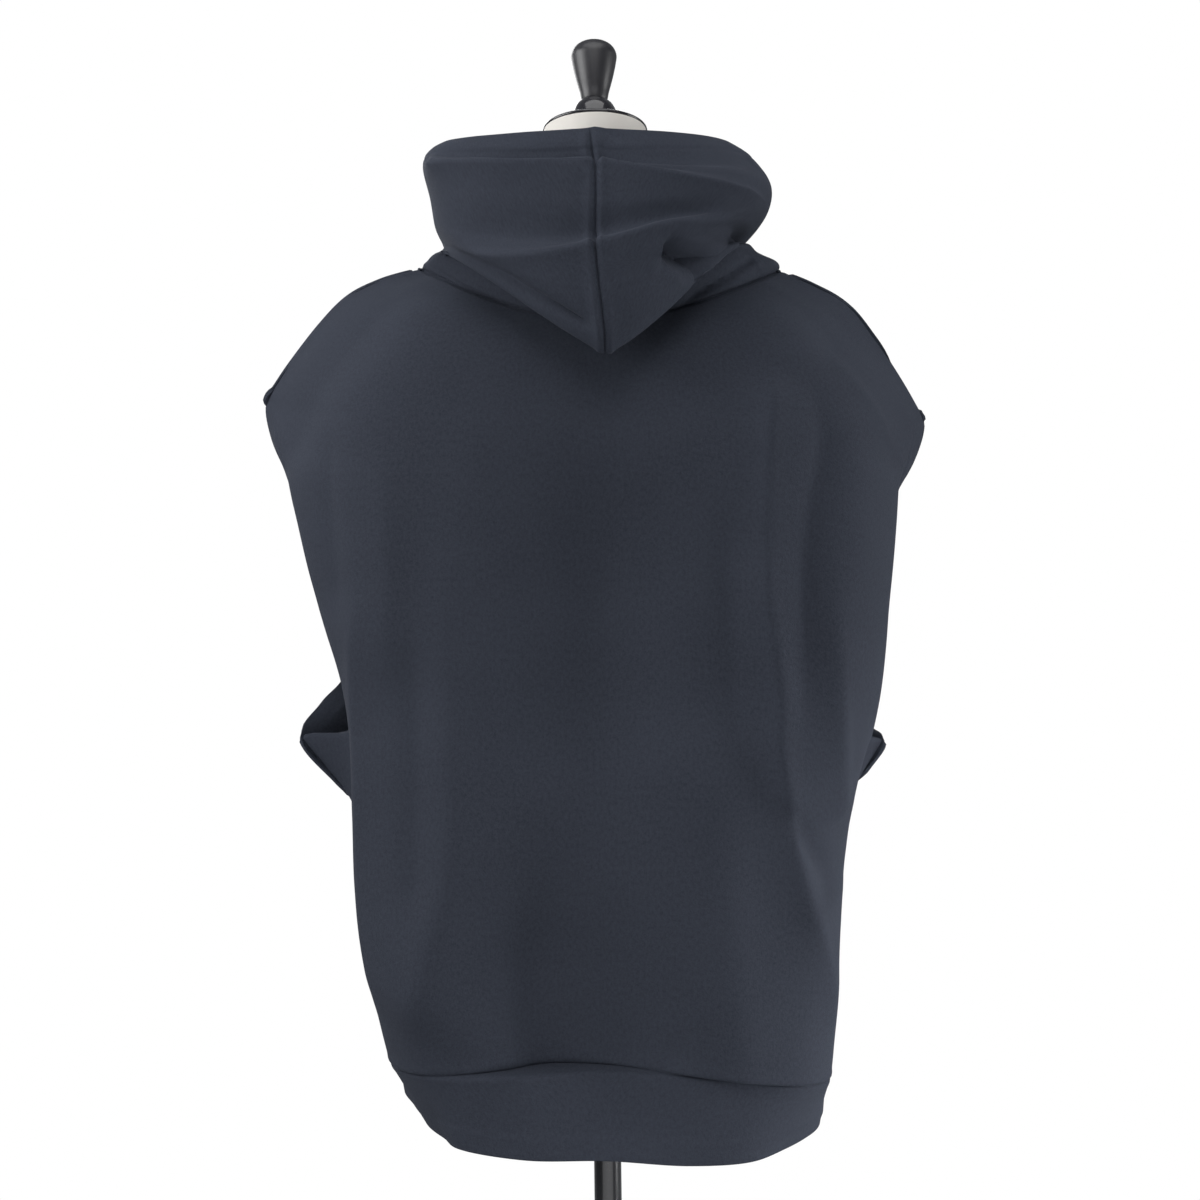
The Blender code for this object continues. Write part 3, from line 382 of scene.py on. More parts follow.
HOOD_FOLDS = (
    Fold(  # the upper ridge, notched at the centre seam
        ((0.1520, 1.2620, 0.2), (0.1445, 1.2586, 0.8), (0.1175, 1.2530, 1.0), (0.0818, 1.2480, 1.0),
         (0.0472, 1.2459, 1.0), (0.0130, 1.2462, 1.0), (0.0045, 1.2485, 1.0),
         (-0.0006, 1.2405, 0.1), (-0.0060, 1.2445, 1.0), (-0.0211, 1.2428, 1.0),
         (-0.0552, 1.2367, 1.0), (-0.0897, 1.2309, 1.0), (-0.1301, 1.2255, 0.9),
         (-0.1502, 1.2230, 0.2)),
        0.0060, 0.008, 0.0035, 0.0008,
    ),
    Fold(  # the cloth falls back sharply over it
        ((0.1450, 1.2680, 0.0), (0.1175, 1.2610, 1.0), (0.0472, 1.2540, 1.0),
         (-0.0150, 1.2510, 1.0), (-0.0552, 1.2450, 1.0), (-0.0950, 1.2400, 0.8),
         (-0.1350, 1.2360, 0.0)),
        -0.0048, 0.005, 0.009, 0.0020,
    ),
    Fold(  # the lower ridge
        ((0.1326, 1.1870, 0.2), (0.0999, 1.1691, 0.9), (0.0646, 1.1627, 1.0), (0.0306, 1.1649, 1.0),
         (0.0069, 1.1696, 1.0), (0.0010, 1.1692, 0.5), (-0.0032, 1.1712, 0.9),
         (-0.0286, 1.1782, 1.0), (-0.0541, 1.1865, 1.0), (-0.0889, 1.1938, 1.0),
         (-0.1232, 1.2030, 0.4)),
        0.0064, 0.008, 0.006, 0.0010,
    ),
    Fold(  # the shadowed hollow just above the lower ridge
        ((0.1240, 1.1960, 0.0), (0.0999, 1.1790, 0.8), (0.0646, 1.1725, 1.0), (0.0306, 1.1740, 1.0),
         (0.0000, 1.1800, 0.8), (-0.0286, 1.1870, 1.0), (-0.0541, 1.1955, 1.0),
         (-0.0889, 1.2030, 0.8), (-0.1180, 1.2110, 0.0)),
        -0.0050, 0.005, 0.012, 0.003,
    ),
    Fold(  # the stitching of the rim's casing
        ((0.0850, 1.2560, 0.0), (0.0697, 1.2587, 1.0), (0.0096, 1.2640, 1.0),
         (-0.0520, 1.2556, 1.0), (-0.0850, 1.2480, 0.0)),
        -0.0004, 0.0025, 0.0025, 0.001,
    ),
    Fold(  # the roll over the pucker
        ((-0.0560, 1.1760, 0.0), (-0.0750, 1.1770, 1.0), (-0.0980, 1.1790, 1.0),
         (-0.1230, 1.1860, 0.5)),
        0.0030, 0.006, 0.008, 0.003,
    ),
    Fold(  # the pucker itself
        ((-0.0555, 1.1690, 0.0), (-0.0610, 1.1672, 0.9), (-0.0730, 1.1640, 1.0),
         (-0.0870, 1.1615, 1.0), (-0.1000, 1.1600, 0.6), (-0.1120, 1.1590, 0.0)),
        -0.0240, 0.0090, 0.0055, 0.0012,
    ),
    Fold(  # the pucker's curved rim
        ((-0.0555, 1.1720, 0.1), (-0.0560, 1.1660, 0.9), (-0.0602, 1.1533, 1.0),
         (-0.0690, 1.1452, 0.7), (-0.0780, 1.1380, 0.0)),
        0.0046, 0.006, 0.0030, 0.0008,
    ),
    Fold(  # the fold that runs up from the pouch's lower edge to the right
        ((-0.1285, 1.1985, 0.2), (-0.1082, 1.1783, 1.0), (-0.0897, 1.1535, 1.0),
         (-0.0801, 1.1372, 0.8), (-0.0668, 1.1209, 0.0)),
        0.0030, 0.008, 0.004, 0.001,
    ),
    Fold(  # the thin second layer along the pouch's lower left edge
        ((0.1290, 1.1830, 0.0), (0.1038, 1.1672, 0.8), (0.0658, 1.1385, 1.0), (0.0315, 1.1170, 1.0),
         (0.0122, 1.1050, 0.7), (0.0030, 1.0990, 0.0)),
        -0.0060, 0.0030, 0.0026, 0.0006,
    ),
    Fold(  # a short crease under the rim's peak
        ((-0.0060, 1.2860, 0.0), (-0.0132, 1.2781, 1.0), (-0.0184, 1.2735, 1.0),
         (-0.0236, 1.2692, 0.0)),
        -0.0012, 0.003, 0.003, 0.001,
    ),
    Fold(  # the streak on the right corner
        ((-0.1300, 1.2680, 0.0), (-0.1370, 1.2620, 1.0), (-0.1500, 1.2490, 1.0),
         (-0.1560, 1.2430, 0.0)),
        0.0018, 0.003, 0.003, 0.0008,
    ),
    Fold(  # the lighter strip beside the seam's lower end
        ((0.0040, 1.1400, 0.0), (0.0020, 1.1200, 1.0), (-0.0020, 1.0950, 1.0)),
        0.0014, 0.004, 0.002, 0.0008,
    ),
)
STAND_FOLDS = (
    Fold(  # the groove at the left
        ((0.1480, 1.1745, 0.2), (0.1300, 1.1592, 1.0), (0.1133, 1.1483, 1.0), (0.0860, 1.1346, 0.8),
         (0.0600, 1.1230, 0.2)),
        -0.0036, 0.006, 0.0025, 0.001,
    ),
    Fold(  # the deeper groove at the right
        ((-0.1430, 1.1760, 0.4), (-0.1381, 1.1724, 1.0), (-0.1191, 1.1588, 1.0),
         (-0.0914, 1.1419, 1.0), (-0.0779, 1.1301, 0.5)),
        -0.0065, 0.0030, 0.0075, 0.0010,
    ),
    Fold(  # the swell below it
        ((-0.1520, 1.1790, 0.0), (-0.1400, 1.1680, 1.0), (-0.1200, 1.1530, 1.0),
         (-0.0900, 1.1350, 0.6)),
        0.0026, 0.005, 0.0035, 0.002,
    ),
)
TURNED_AWAY = 0.45  # folds fade where the cloth faces backward less than this, beside its outline
RIM_PEAK = 0.0026  # how far the centre seam's allowances hold the hood's rim up
PEAK_WIDTH = 0.012
PEAK_DEPTH = 0.020
RIM_FADE = 0.009  # over which the centre seam is pressed in, down from the rim

# Seams: how deep and how wide each is pressed in, and how far its allowances swell beside it
Seam = namedtuple("Seam", "press reach swell")
PLAIN_SEAM = Seam(0.0016, 0.0014, 0.0005)
SHOULDER_SEAM = Seam(0.0004, 0.0014, 0.0)
HOOD_SEAM = Seam(0.0019, 0.0009, 0.0016)
ALLOWANCE = 0.0055
SWELL_WIDTH = 0.6 * ALLOWANCE
HEM_SWELL = 0.0009  # how much the turned hems stand proud
HEM_TURN = 0.022
STITCH_DENT = 0.6 * HEM_SWELL
HEM_LIFT = 0.030  # over which a turned hem rises beside a seam
STITCH_WIDTH = 0.0018

EDGE_TAPER = 0.016  # over which a free edge's round wall goes flat beside a seam
EDGE_ROUND_STEPS = 4

SLACK = ((0.110, 0.0012), (0.045, 0.0005))  # size and height of the soft unevenness of worn cloth

MERGE = 1e-6  # points closer than this are one
CLOTH_CREASE = math.radians(60)  # edges sharper than this stay sharp
FORM_CREASE = math.radians(50)
TURNED_CREASE = math.radians(40)

# The knit
COLUMN_WIDTH = 0.0009
STITCH_HEIGHT = 0.0007

# The stage
FLOOR_SIZE = 6.0
FLOOR_SIDES = 128
FLOOR_FADE = 0.3
BLACK = (0.0, 0.0, 0.0)
WHITE = (1.0, 1.0, 1.0)
FLOOR_TONES = (0.80, 0.80, 0.80), (0.84, 0.84, 0.84)
DAYLIGHT = (0.93, 0.96, 1.0)  # the room's colour as a light
BACKDROP_FADE = (0.05, 0.75)  # how far behind a direction points as the backdrop's light sets in
BELOW_FADE = (-0.1, 0.6)  # how far down it points as the floor's light sets in
MIDDLE = (0.0, 0.0, 0.80)
# Where a softbox stands, its sides, what it aims at, its spread in degrees and its watts
Softbox = namedtuple("Softbox", "name place sides aim spread power")
SOFTBOXES = (
    Softbox("Top softbox", (0.0, 0.70, 2.75), (2.2, 1.4), MIDDLE, 180, 19.0),
    Softbox("Overhead softbox", (0.0, 1.60, 2.30), (1.6, 1.0), MIDDLE, 180, 9.0),
    Softbox("High left softbox", (1.9, 1.00, 1.70), (0.9, 1.2), MIDDLE, 180, 16.0),
    Softbox("Left edge light", (2.0, 0.20, 1.60), (1.0, 1.2), MIDDLE, 180, 20.0),
    Softbox("Right edge light", (-2.1, 0.10, 0.80), (1.0, 1.6), MIDDLE, 180, 24.0),
    Softbox("Low right edge light", (-1.6, 0.25, 0.30), (0.4, 0.5), (-0.2, 0.0, 0.48), 40, 0.8),
    Softbox("Low softbox", (-0.4, 2.40, 0.35), (1.6, 0.6), MIDDLE, 180, 6.0),
    Softbox("Front softbox", (0.7, -2.30, 1.70), (2.0, 1.5), MIDDLE, 180, 32.0),
    Softbox("Floor bounce", (0.0, 0.80, 0.02), (1.6, 0.8), (0.0, 0.1, 0.50), 140, 3.0),
)


# ---------------------------------------------------------------- settings


class HoodieCloth(bpy.types.PropertyGroup):
    """The jersey and the way it hangs."""

    wall: bpy.props.FloatProperty(
        name="Thickness", description="Thickness of the double-knit jersey",
        default=0.0022, min=0.0005, max=0.004, subtype="DISTANCE", unit="LENGTH",
    )
    clearance: bpy.props.FloatProperty(
        name="Clearance", description="Space between the cloth's inner face and the dress form",
        default=0.0008, min=0.0, max=0.01, subtype="DISTANCE", unit="LENGTH",
    )
    fold_depth: bpy.props.FloatProperty(
        name="Fold depth", description="Share of the full height that every fold has",
        default=1.0, min=0.0, max=2.0, subtype="FACTOR",
    )
    dark: bpy.props.FloatVectorProperty(
        name="Dark yarn", description="Colour of the darker yarn of the heathered jersey",
        default=(0.0230, 0.0266, 0.0374), min=0.0, max=1.0, size=3, subtype="COLOR",
    )
    light: bpy.props.FloatVectorProperty(
        name="Light yarn", description="Colour of the lighter yarn of the heathered jersey",
        default=(0.0450, 0.0514, 0.0694), min=0.0, max=1.0, size=3, subtype="COLOR",
    )


class DressForm(bpy.types.PropertyGroup):
    """The padded form, its cap, its knob and its stand."""

    cover: bpy.props.FloatVectorProperty(
        name="Cover", description="Colour of the jersey that covers the form",
        default=(0.840, 0.810, 0.760), min=0.0, max=1.0, size=3, subtype="COLOR",
    )
    lacquer: bpy.props.FloatVectorProperty(
        name="Lacquer", description="Colour of the lacquered knob, collar and neck cap",
        default=(0.020, 0.020, 0.024), min=0.0, max=1.0, size=3, subtype="COLOR",
    )
    steel: bpy.props.FloatVectorProperty(
        name="Steel", description="Colour of the painted pole, socket and base",
        default=(0.036, 0.037, 0.041), min=0.0, max=1.0, size=3, subtype="COLOR",
    )
    cap_radius: bpy.props.FloatProperty(
        name="Neck cap radius", description="Radius of the cap on the neck",
        default=0.0485, min=0.045, max=0.052, subtype="DISTANCE", unit="LENGTH",
    )
    pole_radius: bpy.props.FloatProperty(
        name="Pole radius", description="Radius of the pole",
        default=0.0125, min=0.008, max=0.0125, subtype="DISTANCE", unit="LENGTH",
    )
    base_radius: bpy.props.FloatProperty(
        name="Base radius", description="Radius of the round base",
        default=0.160, min=0.1, max=0.16, subtype="DISTANCE", unit="LENGTH",
    )


class PhotoStage(bpy.types.PropertyGroup):
    """The camera, floor and light."""

    camera_place: bpy.props.FloatVectorProperty(
        name="Camera place", description="Where the camera stands, level with the garment's middle",
        default=(0.0006, 2.0, 0.870), size=3, subtype="TRANSLATION", unit="LENGTH",
    )
    camera_lean: bpy.props.FloatProperty(
        name="Camera lean", description="How far the camera leans to its side",
        default=0.0125, subtype="ANGLE", unit="ROTATION",
    )
    camera_view: bpy.props.FloatProperty(
        name="Angle of view", description="Angle that the frame takes in",
        default=math.radians(30.86), subtype="ANGLE", unit="ROTATION",
    )
    floor_radius: bpy.props.FloatProperty(
        name="Floor radius", description="Radius of the pale floor before it fades into white",
        default=0.85, min=0.3, subtype="DISTANCE", unit="LENGTH",
    )
    fill: bpy.props.FloatProperty(
        name="Fill light", description="Strength of the room as a light",
        default=0.05, min=0.0, max=2.0,
    )
    backdrop: bpy.props.FloatProperty(
        name="Backdrop light", description="Strength of the backdrop beyond the garment as a light",
        default=0.22, min=0.0, max=2.0,
    )
    floor_light: bpy.props.FloatProperty(
        name="Floor light", description="Strength that the floor adds to the light from below",
        default=0.05, min=0.0, max=2.0,
    )


# ---------------------------------------------------------------- curves


def through(points, steps, closed=False):
    """A smooth curve through the points, with so many steps between one and the next."""
    points = np.asarray(points, float)
    if closed:
        points = np.concatenate([points[-2:-1], points, points[1:2]])
    gaps = np.sqrt(np.linalg.norm(np.diff(points, axis=0), axis=1))[:, None]
    chords = np.diff(points, axis=0) / gaps
    slopes = np.empty_like(points)
    slopes[1:-1] = (chords[:-1] * gaps[1:] + chords[1:] * gaps[:-1]) / (gaps[1:] + gaps[:-1])
    slopes[0] = (3 * chords[0] - slopes[1]) / 2
    slopes[-1] = (3 * chords[-1] - slopes[-2]) / 2
    first = 1 if closed else 0
    curve = [points[first : first + 1]]
    for span, count in enumerate(steps, start=first):
        t = (np.arange(1, count + 1) / count)[:, None]
        curve.append(
            (2 * t**3 - 3 * t**2 + 1) * points[span]
            + (t**3 - 2 * t**2 + t) * gaps[span] * slopes[span]
            + (3 * t**2 - 2 * t**3) * points[span + 1]
            + (t**3 - t**2) * gaps[span] * slopes[span + 1]
        )
    return np.concatenate(curve)


def net(sections, across, along):
    """A grid through sections[level][station], smooth along the sections and between the levels."""
    rows = np.array([through(section, across) for section in sections])
    return np.array([through(rows[:, i], along) for i in range(rows.shape[1])]).transpose(1, 0, 2)


def quarter(half, near, far, roundness):
    """A quarter turn seen from above, from (0, far) to (half, near), as x and y."""
    angle = np.linspace(0, math.pi / 2, OUTLINE_STEPS)
    x = half * np.sin(angle) ** (2 / roundness)
    y = near + (far - near) * np.cos(angle) ** (2 / roundness)
    return x, y


def at_shares(x, y, shares):
    """The points at the given shares of a plane curve's length."""
    length = np.concatenate([[0], np.cumsum(np.hypot(np.diff(x), np.diff(y)))])
    return np.interp(shares * length[-1], length, x), np.interp(shares * length[-1], length, y)


def lengths_along(points):
    return np.concatenate([[0], np.cumsum(np.linalg.norm(np.diff(points, axis=0), axis=1))])


def shares_along(points):
    length = lengths_along(points)
    return length / length[-1]


def unit(vectors):
    return vectors / np.linalg.norm(vectors, axis=-1, keepdims=True)


def finer(count, seams):
    """Places along a grid, in plain steps, that are closer together beside its seams."""
    places = set(range(count + 1))
    for seam in seams:
        for step in SEAM_STEPS:
            places |= {seam - step, seam + step}
    return np.array(sorted(place for place in places if 0 <= place <= count))


def resampled(grid, places):
    """A grid's rows at the given places, smoothly between its own rows."""
    low = np.clip(np.floor(places).astype(int), 0, len(grid) - 2)
    t = (places - low)[:, None, None]
    longer = np.concatenate([2 * grid[:1] - grid[1:2], grid, 2 * grid[-1:] - grid[-2:-1]])
    a, b, c, d = (longer[low + i] for i in range(4))
    return b + t / 2 * (c - a + t * (2 * a - 5 * b + 4 * c - d + t * (3 * (b - c) + d - a)))


# ---------------------------------------------------------------- the pattern pieces


def edge_point(edge, side):
    if side > 0:
        return np.array((edge.left, edge.depth, edge.left_height))
    return np.array((-edge.right, edge.depth, edge.right_height))


def height_between(centre_height, edge, x):
    """Heights along a section, which climbs or falls from its centre to its edge."""
    return centre_height + (edge[2] - centre_height) * (x / edge[0]) ** 2


def back_half(section, edge, side):
    """Stations of a back section, from the centre line out."""
    tip = edge_point(edge, side)
    fold = section.fold_left if side > 0 else -section.fold_right
    tuck = section.tuck_left if side > 0 else -section.tuck_right
    stations = (
        (0.0, section.centre),
        (BLADE_SHARE * fold, section.blade),
        (CORNER_SHARE * fold, section.corner),
        (fold, section.fold),
        (tuck, section.tuck),
    )
    return [(x, y, height_between(section.height, tip, x)) for x, y in stations] + [tip]


def front_half(section, edge, side):
    tip = edge_point(edge, side)
    stations = (
        (0.0, section.centre),
        (MIDDLE_SHARE * tip[0], section.middle),
        (section.bend_share * tip[0], section.bend),
        (section.outer_share * tip[0], section.outer),
    )
    return [(x, y, height_between(section.height, tip, x)) for x, y in stations] + [tip]


def whole(half, sections, edges):
    """Sections from the right edge to the left one."""
    return [
        half(section, edge, -1)[:0:-1] + half(section, edge, 1)
        for section, edge in zip(sections, edges, strict=True)
    ]


def body_panels():
    panels = []
    for half, sections, armhole, across in (
        (back_half, BACK, BACK_ARMHOLE, BACK_ACROSS),
        (front_half, FRONT, FRONT_ARMHOLE, FRONT_ACROSS),
    ):
        edges = SIDE_SEAM + armhole + SHOULDER
        panel = net(whole(half, sections, edges), across[::-1] + across, BODY_ALONG)
        columns = finer(2 * sum(across), (0, sum(across), 2 * sum(across)))
        panel = resampled(panel.transpose(1, 0, 2), columns).transpose(1, 0, 2)
        panels.append(resampled(panel, body_rows()))
    return panels


def body_rows():
    return finer(sum(BODY_ALONG), (0, sum(BODY_ALONG)))


def sewn_rows():
    """The rows of the body panels that the side seams and the shoulder seams join."""
    seam_top, shoulder = np.searchsorted(
        body_rows(),
        (sum(BODY_ALONG[: len(SIDE_SEAM) - 1]), sum(BODY_ALONG[: len(SIDE_SEAM + BACK_ARMHOLE)])),
    )
    return slice(0, seam_top + 1), slice(shoulder, None)


def match(one, other):
    """Gives two edges, which are views of their grids, the same points."""
    shared = (one + other) / 2
    one[...] = shared
    other[...] = shared


def match_sides(back, front):
    for edge in (0, -1):
        for rows in sewn_rows():
            match(back[rows, edge], front[rows, edge])


def hood_line(line, side, back_shares, front_shares):
    """One line of a hood half, from the centre back round the side to the centre front."""
    half = line.left if side > 0 else line.right
    top = line.left_height if side > 0 else line.right_height
    rise = line.left_rise if side > 0 else line.right_rise
    x, y = at_shares(*quarter(half, line.side, line.depth, line.round), back_shares)
    z = line.height + (top - line.height) * (x / half) ** rise
    behind = np.stack([side * x + line.seam * (1 - x / half), y, z], axis=1)
    x, y = at_shares(*quarter(half, line.side, line.front, HOOD_FRONT_ROUND), 1 - front_shares)
    z = line.front_height + (top - line.front_height) * (x / half) ** HOOD_FRONT_FALL
    before = np.stack([side * x, y, z], axis=1)
    return np.concatenate([behind, before[1:]])


def neck_edges(back, front, side):
    """Half of the neck seam as views of the back and of the front, from the centre back round."""
    middle_back, middle_front = back.shape[1] // 2, front.shape[1] // 2
    if side > 0:
        return back[-1, middle_back:], front[-1, : middle_front - 1 : -1]
    return back[-1, middle_back::-1], front[-1, : middle_front + 1]


def hood_half(back, front, side):
    """A half of the hood on its half of the neck seam. Rows run from the seam to the rim."""
    back_seam, front_seam = neck_edges(back, front, side)
    back_shares, front_shares = shares_along(back_seam), shares_along(front_seam)
    rows = [np.concatenate([back_seam, front_seam[1:]])]
    rows += [hood_line(line, side, back_shares, front_shares) for line in HOOD]
    rows = np.array(rows)
    half = np.array([through(rows[:, i], HOOD_ALONG) for i in range(rows.shape[1])])
    return resampled(half.transpose(1, 0, 2), hood_rows())


def hood_rows():
    return finer(sum(HOOD_ALONG), (0,))


def band(back, front):
    """The hem band as a closed ring, from the centre back to the left, the front and back again."""
    left = [(row.left, row.left_depth, row.left_height) for row in HEM]
    right = [(-row.right, row.right_depth, row.right_height) for row in HEM]
    hem = through(left + right[-2::-1], [HEM_STEPS] * (2 * len(HEM) - 2), closed=True)
    middle = back.shape[1] // 2
    top = np.concatenate([back[0, middle:], front[0, -2:0:-1], back[0, : middle + 1]])
    seam_shares, hem_shares = shares_along(top), shares_along(hem)
    bottom = np.stack([np.interp(seam_shares, hem_shares, hem[:, i]) for i in range(3)], axis=1)
    rings = np.array([bottom + (top - bottom) * t for t in np.linspace(0, 1, BAND_ALONG + 1)])
    return resampled(rings, finer(BAND_ALONG, (BAND_ALONG,)))


# ---------------------------------------------------------------- folds and seams


def outward(grid, facing):
    """Unit normals on the worn outside of a grid."""
    return unit(facing * np.cross(np.gradient(grid, axis=1), np.gradient(grid, axis=0)))


def fold_lift(grid, fold):
    """How far a fold lifts each point of a grid."""
    points = np.array(fold.line)
    line = through(points[:, :2], [FOLD_STEPS] * (len(points) - 1))
    shares = np.interp(np.arange(len(line)) / FOLD_STEPS, np.arange(len(points)), points[:, 2])
    starts, steps = line[:-1], np.diff(line, axis=0)
    away = grid[..., None, ::2] - starts
    t = np.clip((away * steps).sum(-1) / (steps**2).sum(-1), 0, 1)
    gap = away - t[..., None] * steps
    distance = np.hypot(gap[..., 0], gap[..., 1])
    nearest = distance.argmin(-1)[..., None]

    def pick(values):
        return np.take_along_axis(values, nearest, -1)[..., 0]

    share = pick(shares[:-1] + t * np.diff(shares))
    on_left = pick(steps[:, 0] * away[..., 1] - steps[:, 1] * away[..., 0]) > 0
    reach = np.where(on_left, fold.left, fold.right)
    softened = np.hypot(pick(distance), fold.soft) - fold.soft
    return fold.height * share**2 * (3 - 2 * share) * np.exp(-softened / reach)


def folds_lift(grid, normals, folds):
    """How far all the folds lift a grid, except where it has turned away from behind."""
    behind = np.clip(normals[..., 1] / TURNED_AWAY, 0, 1)
    return behind**2 * (3 - 2 * behind) * sum(fold_lift(grid, fold) for fold in folds)


def slack(grid):
    """The soft unevenness of worn cloth at each point."""
    flat = grid.reshape(-1, 3)
    lift = np.zeros(len(flat))
    for size, height in SLACK:
        lift += [height * noise.noise(Vector(point) / size) for point in flat]
    return lift.reshape(grid.shape[:2])


def from_edge(grid, edge):
    """Distance of every point from its grid's bottom, top, first or last edge, along the cloth."""
    along_rows = edge in ("first", "last")
    turned = grid.transpose(1, 0, 2) if along_rows else grid
    if edge in ("top", "last"):
        turned = turned[::-1]
    gaps = np.linalg.norm(np.diff(turned, axis=0), axis=-1)
    distance = np.concatenate([np.zeros((1, turned.shape[1])), np.cumsum(gaps, axis=0)])
    if edge in ("top", "last"):
        distance = distance[::-1]
    return distance.T if along_rows else distance


def pressed(distance, seam=PLAIN_SEAM):
    """The groove of a seam, with the slight swell over its allowances."""
    swell = seam.swell * np.exp(-(((distance - ALLOWANCE) / SWELL_WIDTH) ** 2))
    return swell - seam.press * np.exp(-((distance / seam.reach) ** 2))


def turned_hem(distance):
    """The slight swell of a hem that is turned in twice, with the dent of its stitching."""
    swell = HEM_SWELL / (1 + np.exp((distance - HEM_TURN) / STITCH_WIDTH))
    return swell - STITCH_DENT * np.exp(-(((distance - HEM_TURN) / STITCH_WIDTH) ** 2))


def from_ends(line):
    """0 at both ends of a line of points and 1 farther along it than a hem takes to lift."""
    length = lengths_along(line)
    return np.clip(np.minimum(length, length[-1] - length) / HEM_LIFT, 0, 1)[:, None]


def lay_on(form, grid, needed):
    """Lifts a panel's points that would sink into the form, so that its wall rests just clear."""
    for point in grid.reshape(-1, 3):
        near, normal, _, _ = form.find_nearest(Vector(point))
        height = (Vector(point) - near).dot(normal)
        if height < needed:
            point += np.array(normal) * (needed - height)


def sew_body(back, front, fold_depth):
    """Lifts the folds of the back, presses the seams of both panels and turns their armholes in."""
    sides, shoulders = sewn_rows()
    armhole = slice(sides.stop, shoulders.start)
    for panel, facing, folds in ((back, -1, BACK_FOLDS), (front, 1, ())):
        normals = outward(panel, facing)
        lift = fold_depth * (folds_lift(panel, normals, folds) + slack(panel))
        lift += pressed(from_edge(panel, "bottom")) + pressed(from_edge(panel, "top"))
        for edge in ("first", "last"):
            distance = from_edge(panel, edge)
            lift[sides] += pressed(distance[sides])
            lift[shoulders] += pressed(distance[shoulders], SHOULDER_SEAM)
            lift[armhole] += from_ends(panel[armhole, 0]) * turned_hem(distance[armhole])
        panel += normals * lift[..., None]


def sew_hood(halves, back, front, fold_depth):
    """Lifts the folds of the hood, joins its halves and sews them to the neck."""
    stand, pouch, pouch_full = np.searchsorted(
        hood_rows(), [sum(HOOD_ALONG[:lines]) for lines in (STAND_TO, POUCH_FROM, POUCH_FROM + 1)]
    )
    for side, half in halves.items():
        peak = np.exp(-np.abs(half[..., 0]) / PEAK_WIDTH) * (half[..., 1] > 0)
        half[..., 2] += RIM_PEAK * peak * np.exp(-from_edge(half, "top") / PEAK_DEPTH)
        normals = outward(half, -side)
        lift = fold_depth * slack(half)
        fade = np.clip(np.arange(len(half) - pouch) / (pouch_full - pouch), 0, 1)[:, None]
        lift[pouch:] += fold_depth * fade * folds_lift(half[pouch:], normals[pouch:], HOOD_FOLDS)
        lift[:stand] += fold_depth * folds_lift(half[:stand], normals[:stand], STAND_FOLDS)
        from_rim = from_edge(half, "top")
        seam = pressed(from_edge(half, "first"), HOOD_SEAM)
        rim_fade = 1 - np.exp(-((from_rim / RIM_FADE) ** 2))
        lift += pressed(from_edge(half, "bottom")) + rim_fade * seam
        lift += pressed(from_edge(half, "last")) + turned_hem(from_rim)
        half += normals * lift[..., None]
        back_edge, front_edge = neck_edges(back, front, side)
        match(half[0, : len(back_edge)], back_edge)
        match(half[0, len(back_edge) - 1 :], front_edge)
    for column in (0, -1):
        match(halves[1][:, column], halves[-1][:, column])


def sew_band(ring, back, front, fold_depth):
    """Turns the band's lower edge in and sews its upper edge to the body."""
    lift = fold_depth * slack(ring)
    lift += pressed(from_edge(ring, "top")) + turned_hem(from_edge(ring, "bottom"))
    lift[:, -1] = lift[:, 0]
    ring += ring_normals(outward(ring, -1)) * lift[..., None]
    middle = back.shape[1] // 2
    match(ring[-1, : middle + 1], back[0, middle:])
    match(ring[-1, middle : middle + front.shape[1]], front[0, ::-1])
    match(ring[-1, -middle - 1 :], back[0, : middle + 1])


def ring_normals(normals):
    """Normals of a ring, whose first and last columns are one and the same line."""
    normals[:, 0] = normals[:, -1] = unit(normals[:, 0] + normals[:, -1])
    return normals


@functools.lru_cache
def draped(needed, fold_depth):
    """Every grid of the garment, folded and sewn."""
    form = BVHTree.FromPolygons(*torso_shape())
    back, front = body_panels()
    lay_on(form, back, needed)
    lay_on(form, front, needed)
    match_sides(back, front)
    halves = {side: hood_half(back, front, side) for side in (1, -1)}
    for half in halves.values():
        lay_on(form, half, needed)
    ring = band(back, front)
    sew_body(back, front, fold_depth)
    lay_on(form, back, needed)
    match_sides(back, front)
    sew_hood(halves, back, front, fold_depth)
    sew_band(ring, back, front, fold_depth)
    return {"back": back, "front": front, "left": halves[1], "right": halves[-1], "ring": ring}


def torso_shape():
    """Points and faces of the padded body, from its underside to the slanted top of the neck."""
    rings = through([tuple(ring) for ring in TORSO], [TORSO_STEPS] * (len(TORSO) - 1))
    angle = 2 * math.pi * np.arange(TORSO_SIDES) / TORSO_SIDES
    c, s = np.cos(angle), np.sin(angle)
    points = []
    for row in rings:
        ring = Ring(*row)
        x = np.sign(c) * np.abs(c) ** (2 / ring.square) * ring.half_width
        y = np.sign(s) * np.abs(s) ** ring.ridge * np.where(s > 0, ring.back, -ring.front)
        z = ring.height + ring.lean * (y - (ring.back + ring.front) / 2) + ring.tip * x
        points.append(np.stack([x, y, z], axis=1))
    count = len(rings)
    faces = [tuple(range(TORSO_SIDES))[::-1]]
    for level in range(count - 1):
        low = level * TORSO_SIDES
        for i in range(TORSO_SIDES):
            j = (i + 1) % TORSO_SIDES
            faces.append((low + i, low + j, low + TORSO_SIDES + j, low + TORSO_SIDES + i))
    faces.append(tuple((count - 1) * TORSO_SIDES + i for i in range(TORSO_SIDES)))
    return np.concatenate(points).tolist(), faces


# ---------------------------------------------------------------- making pieces


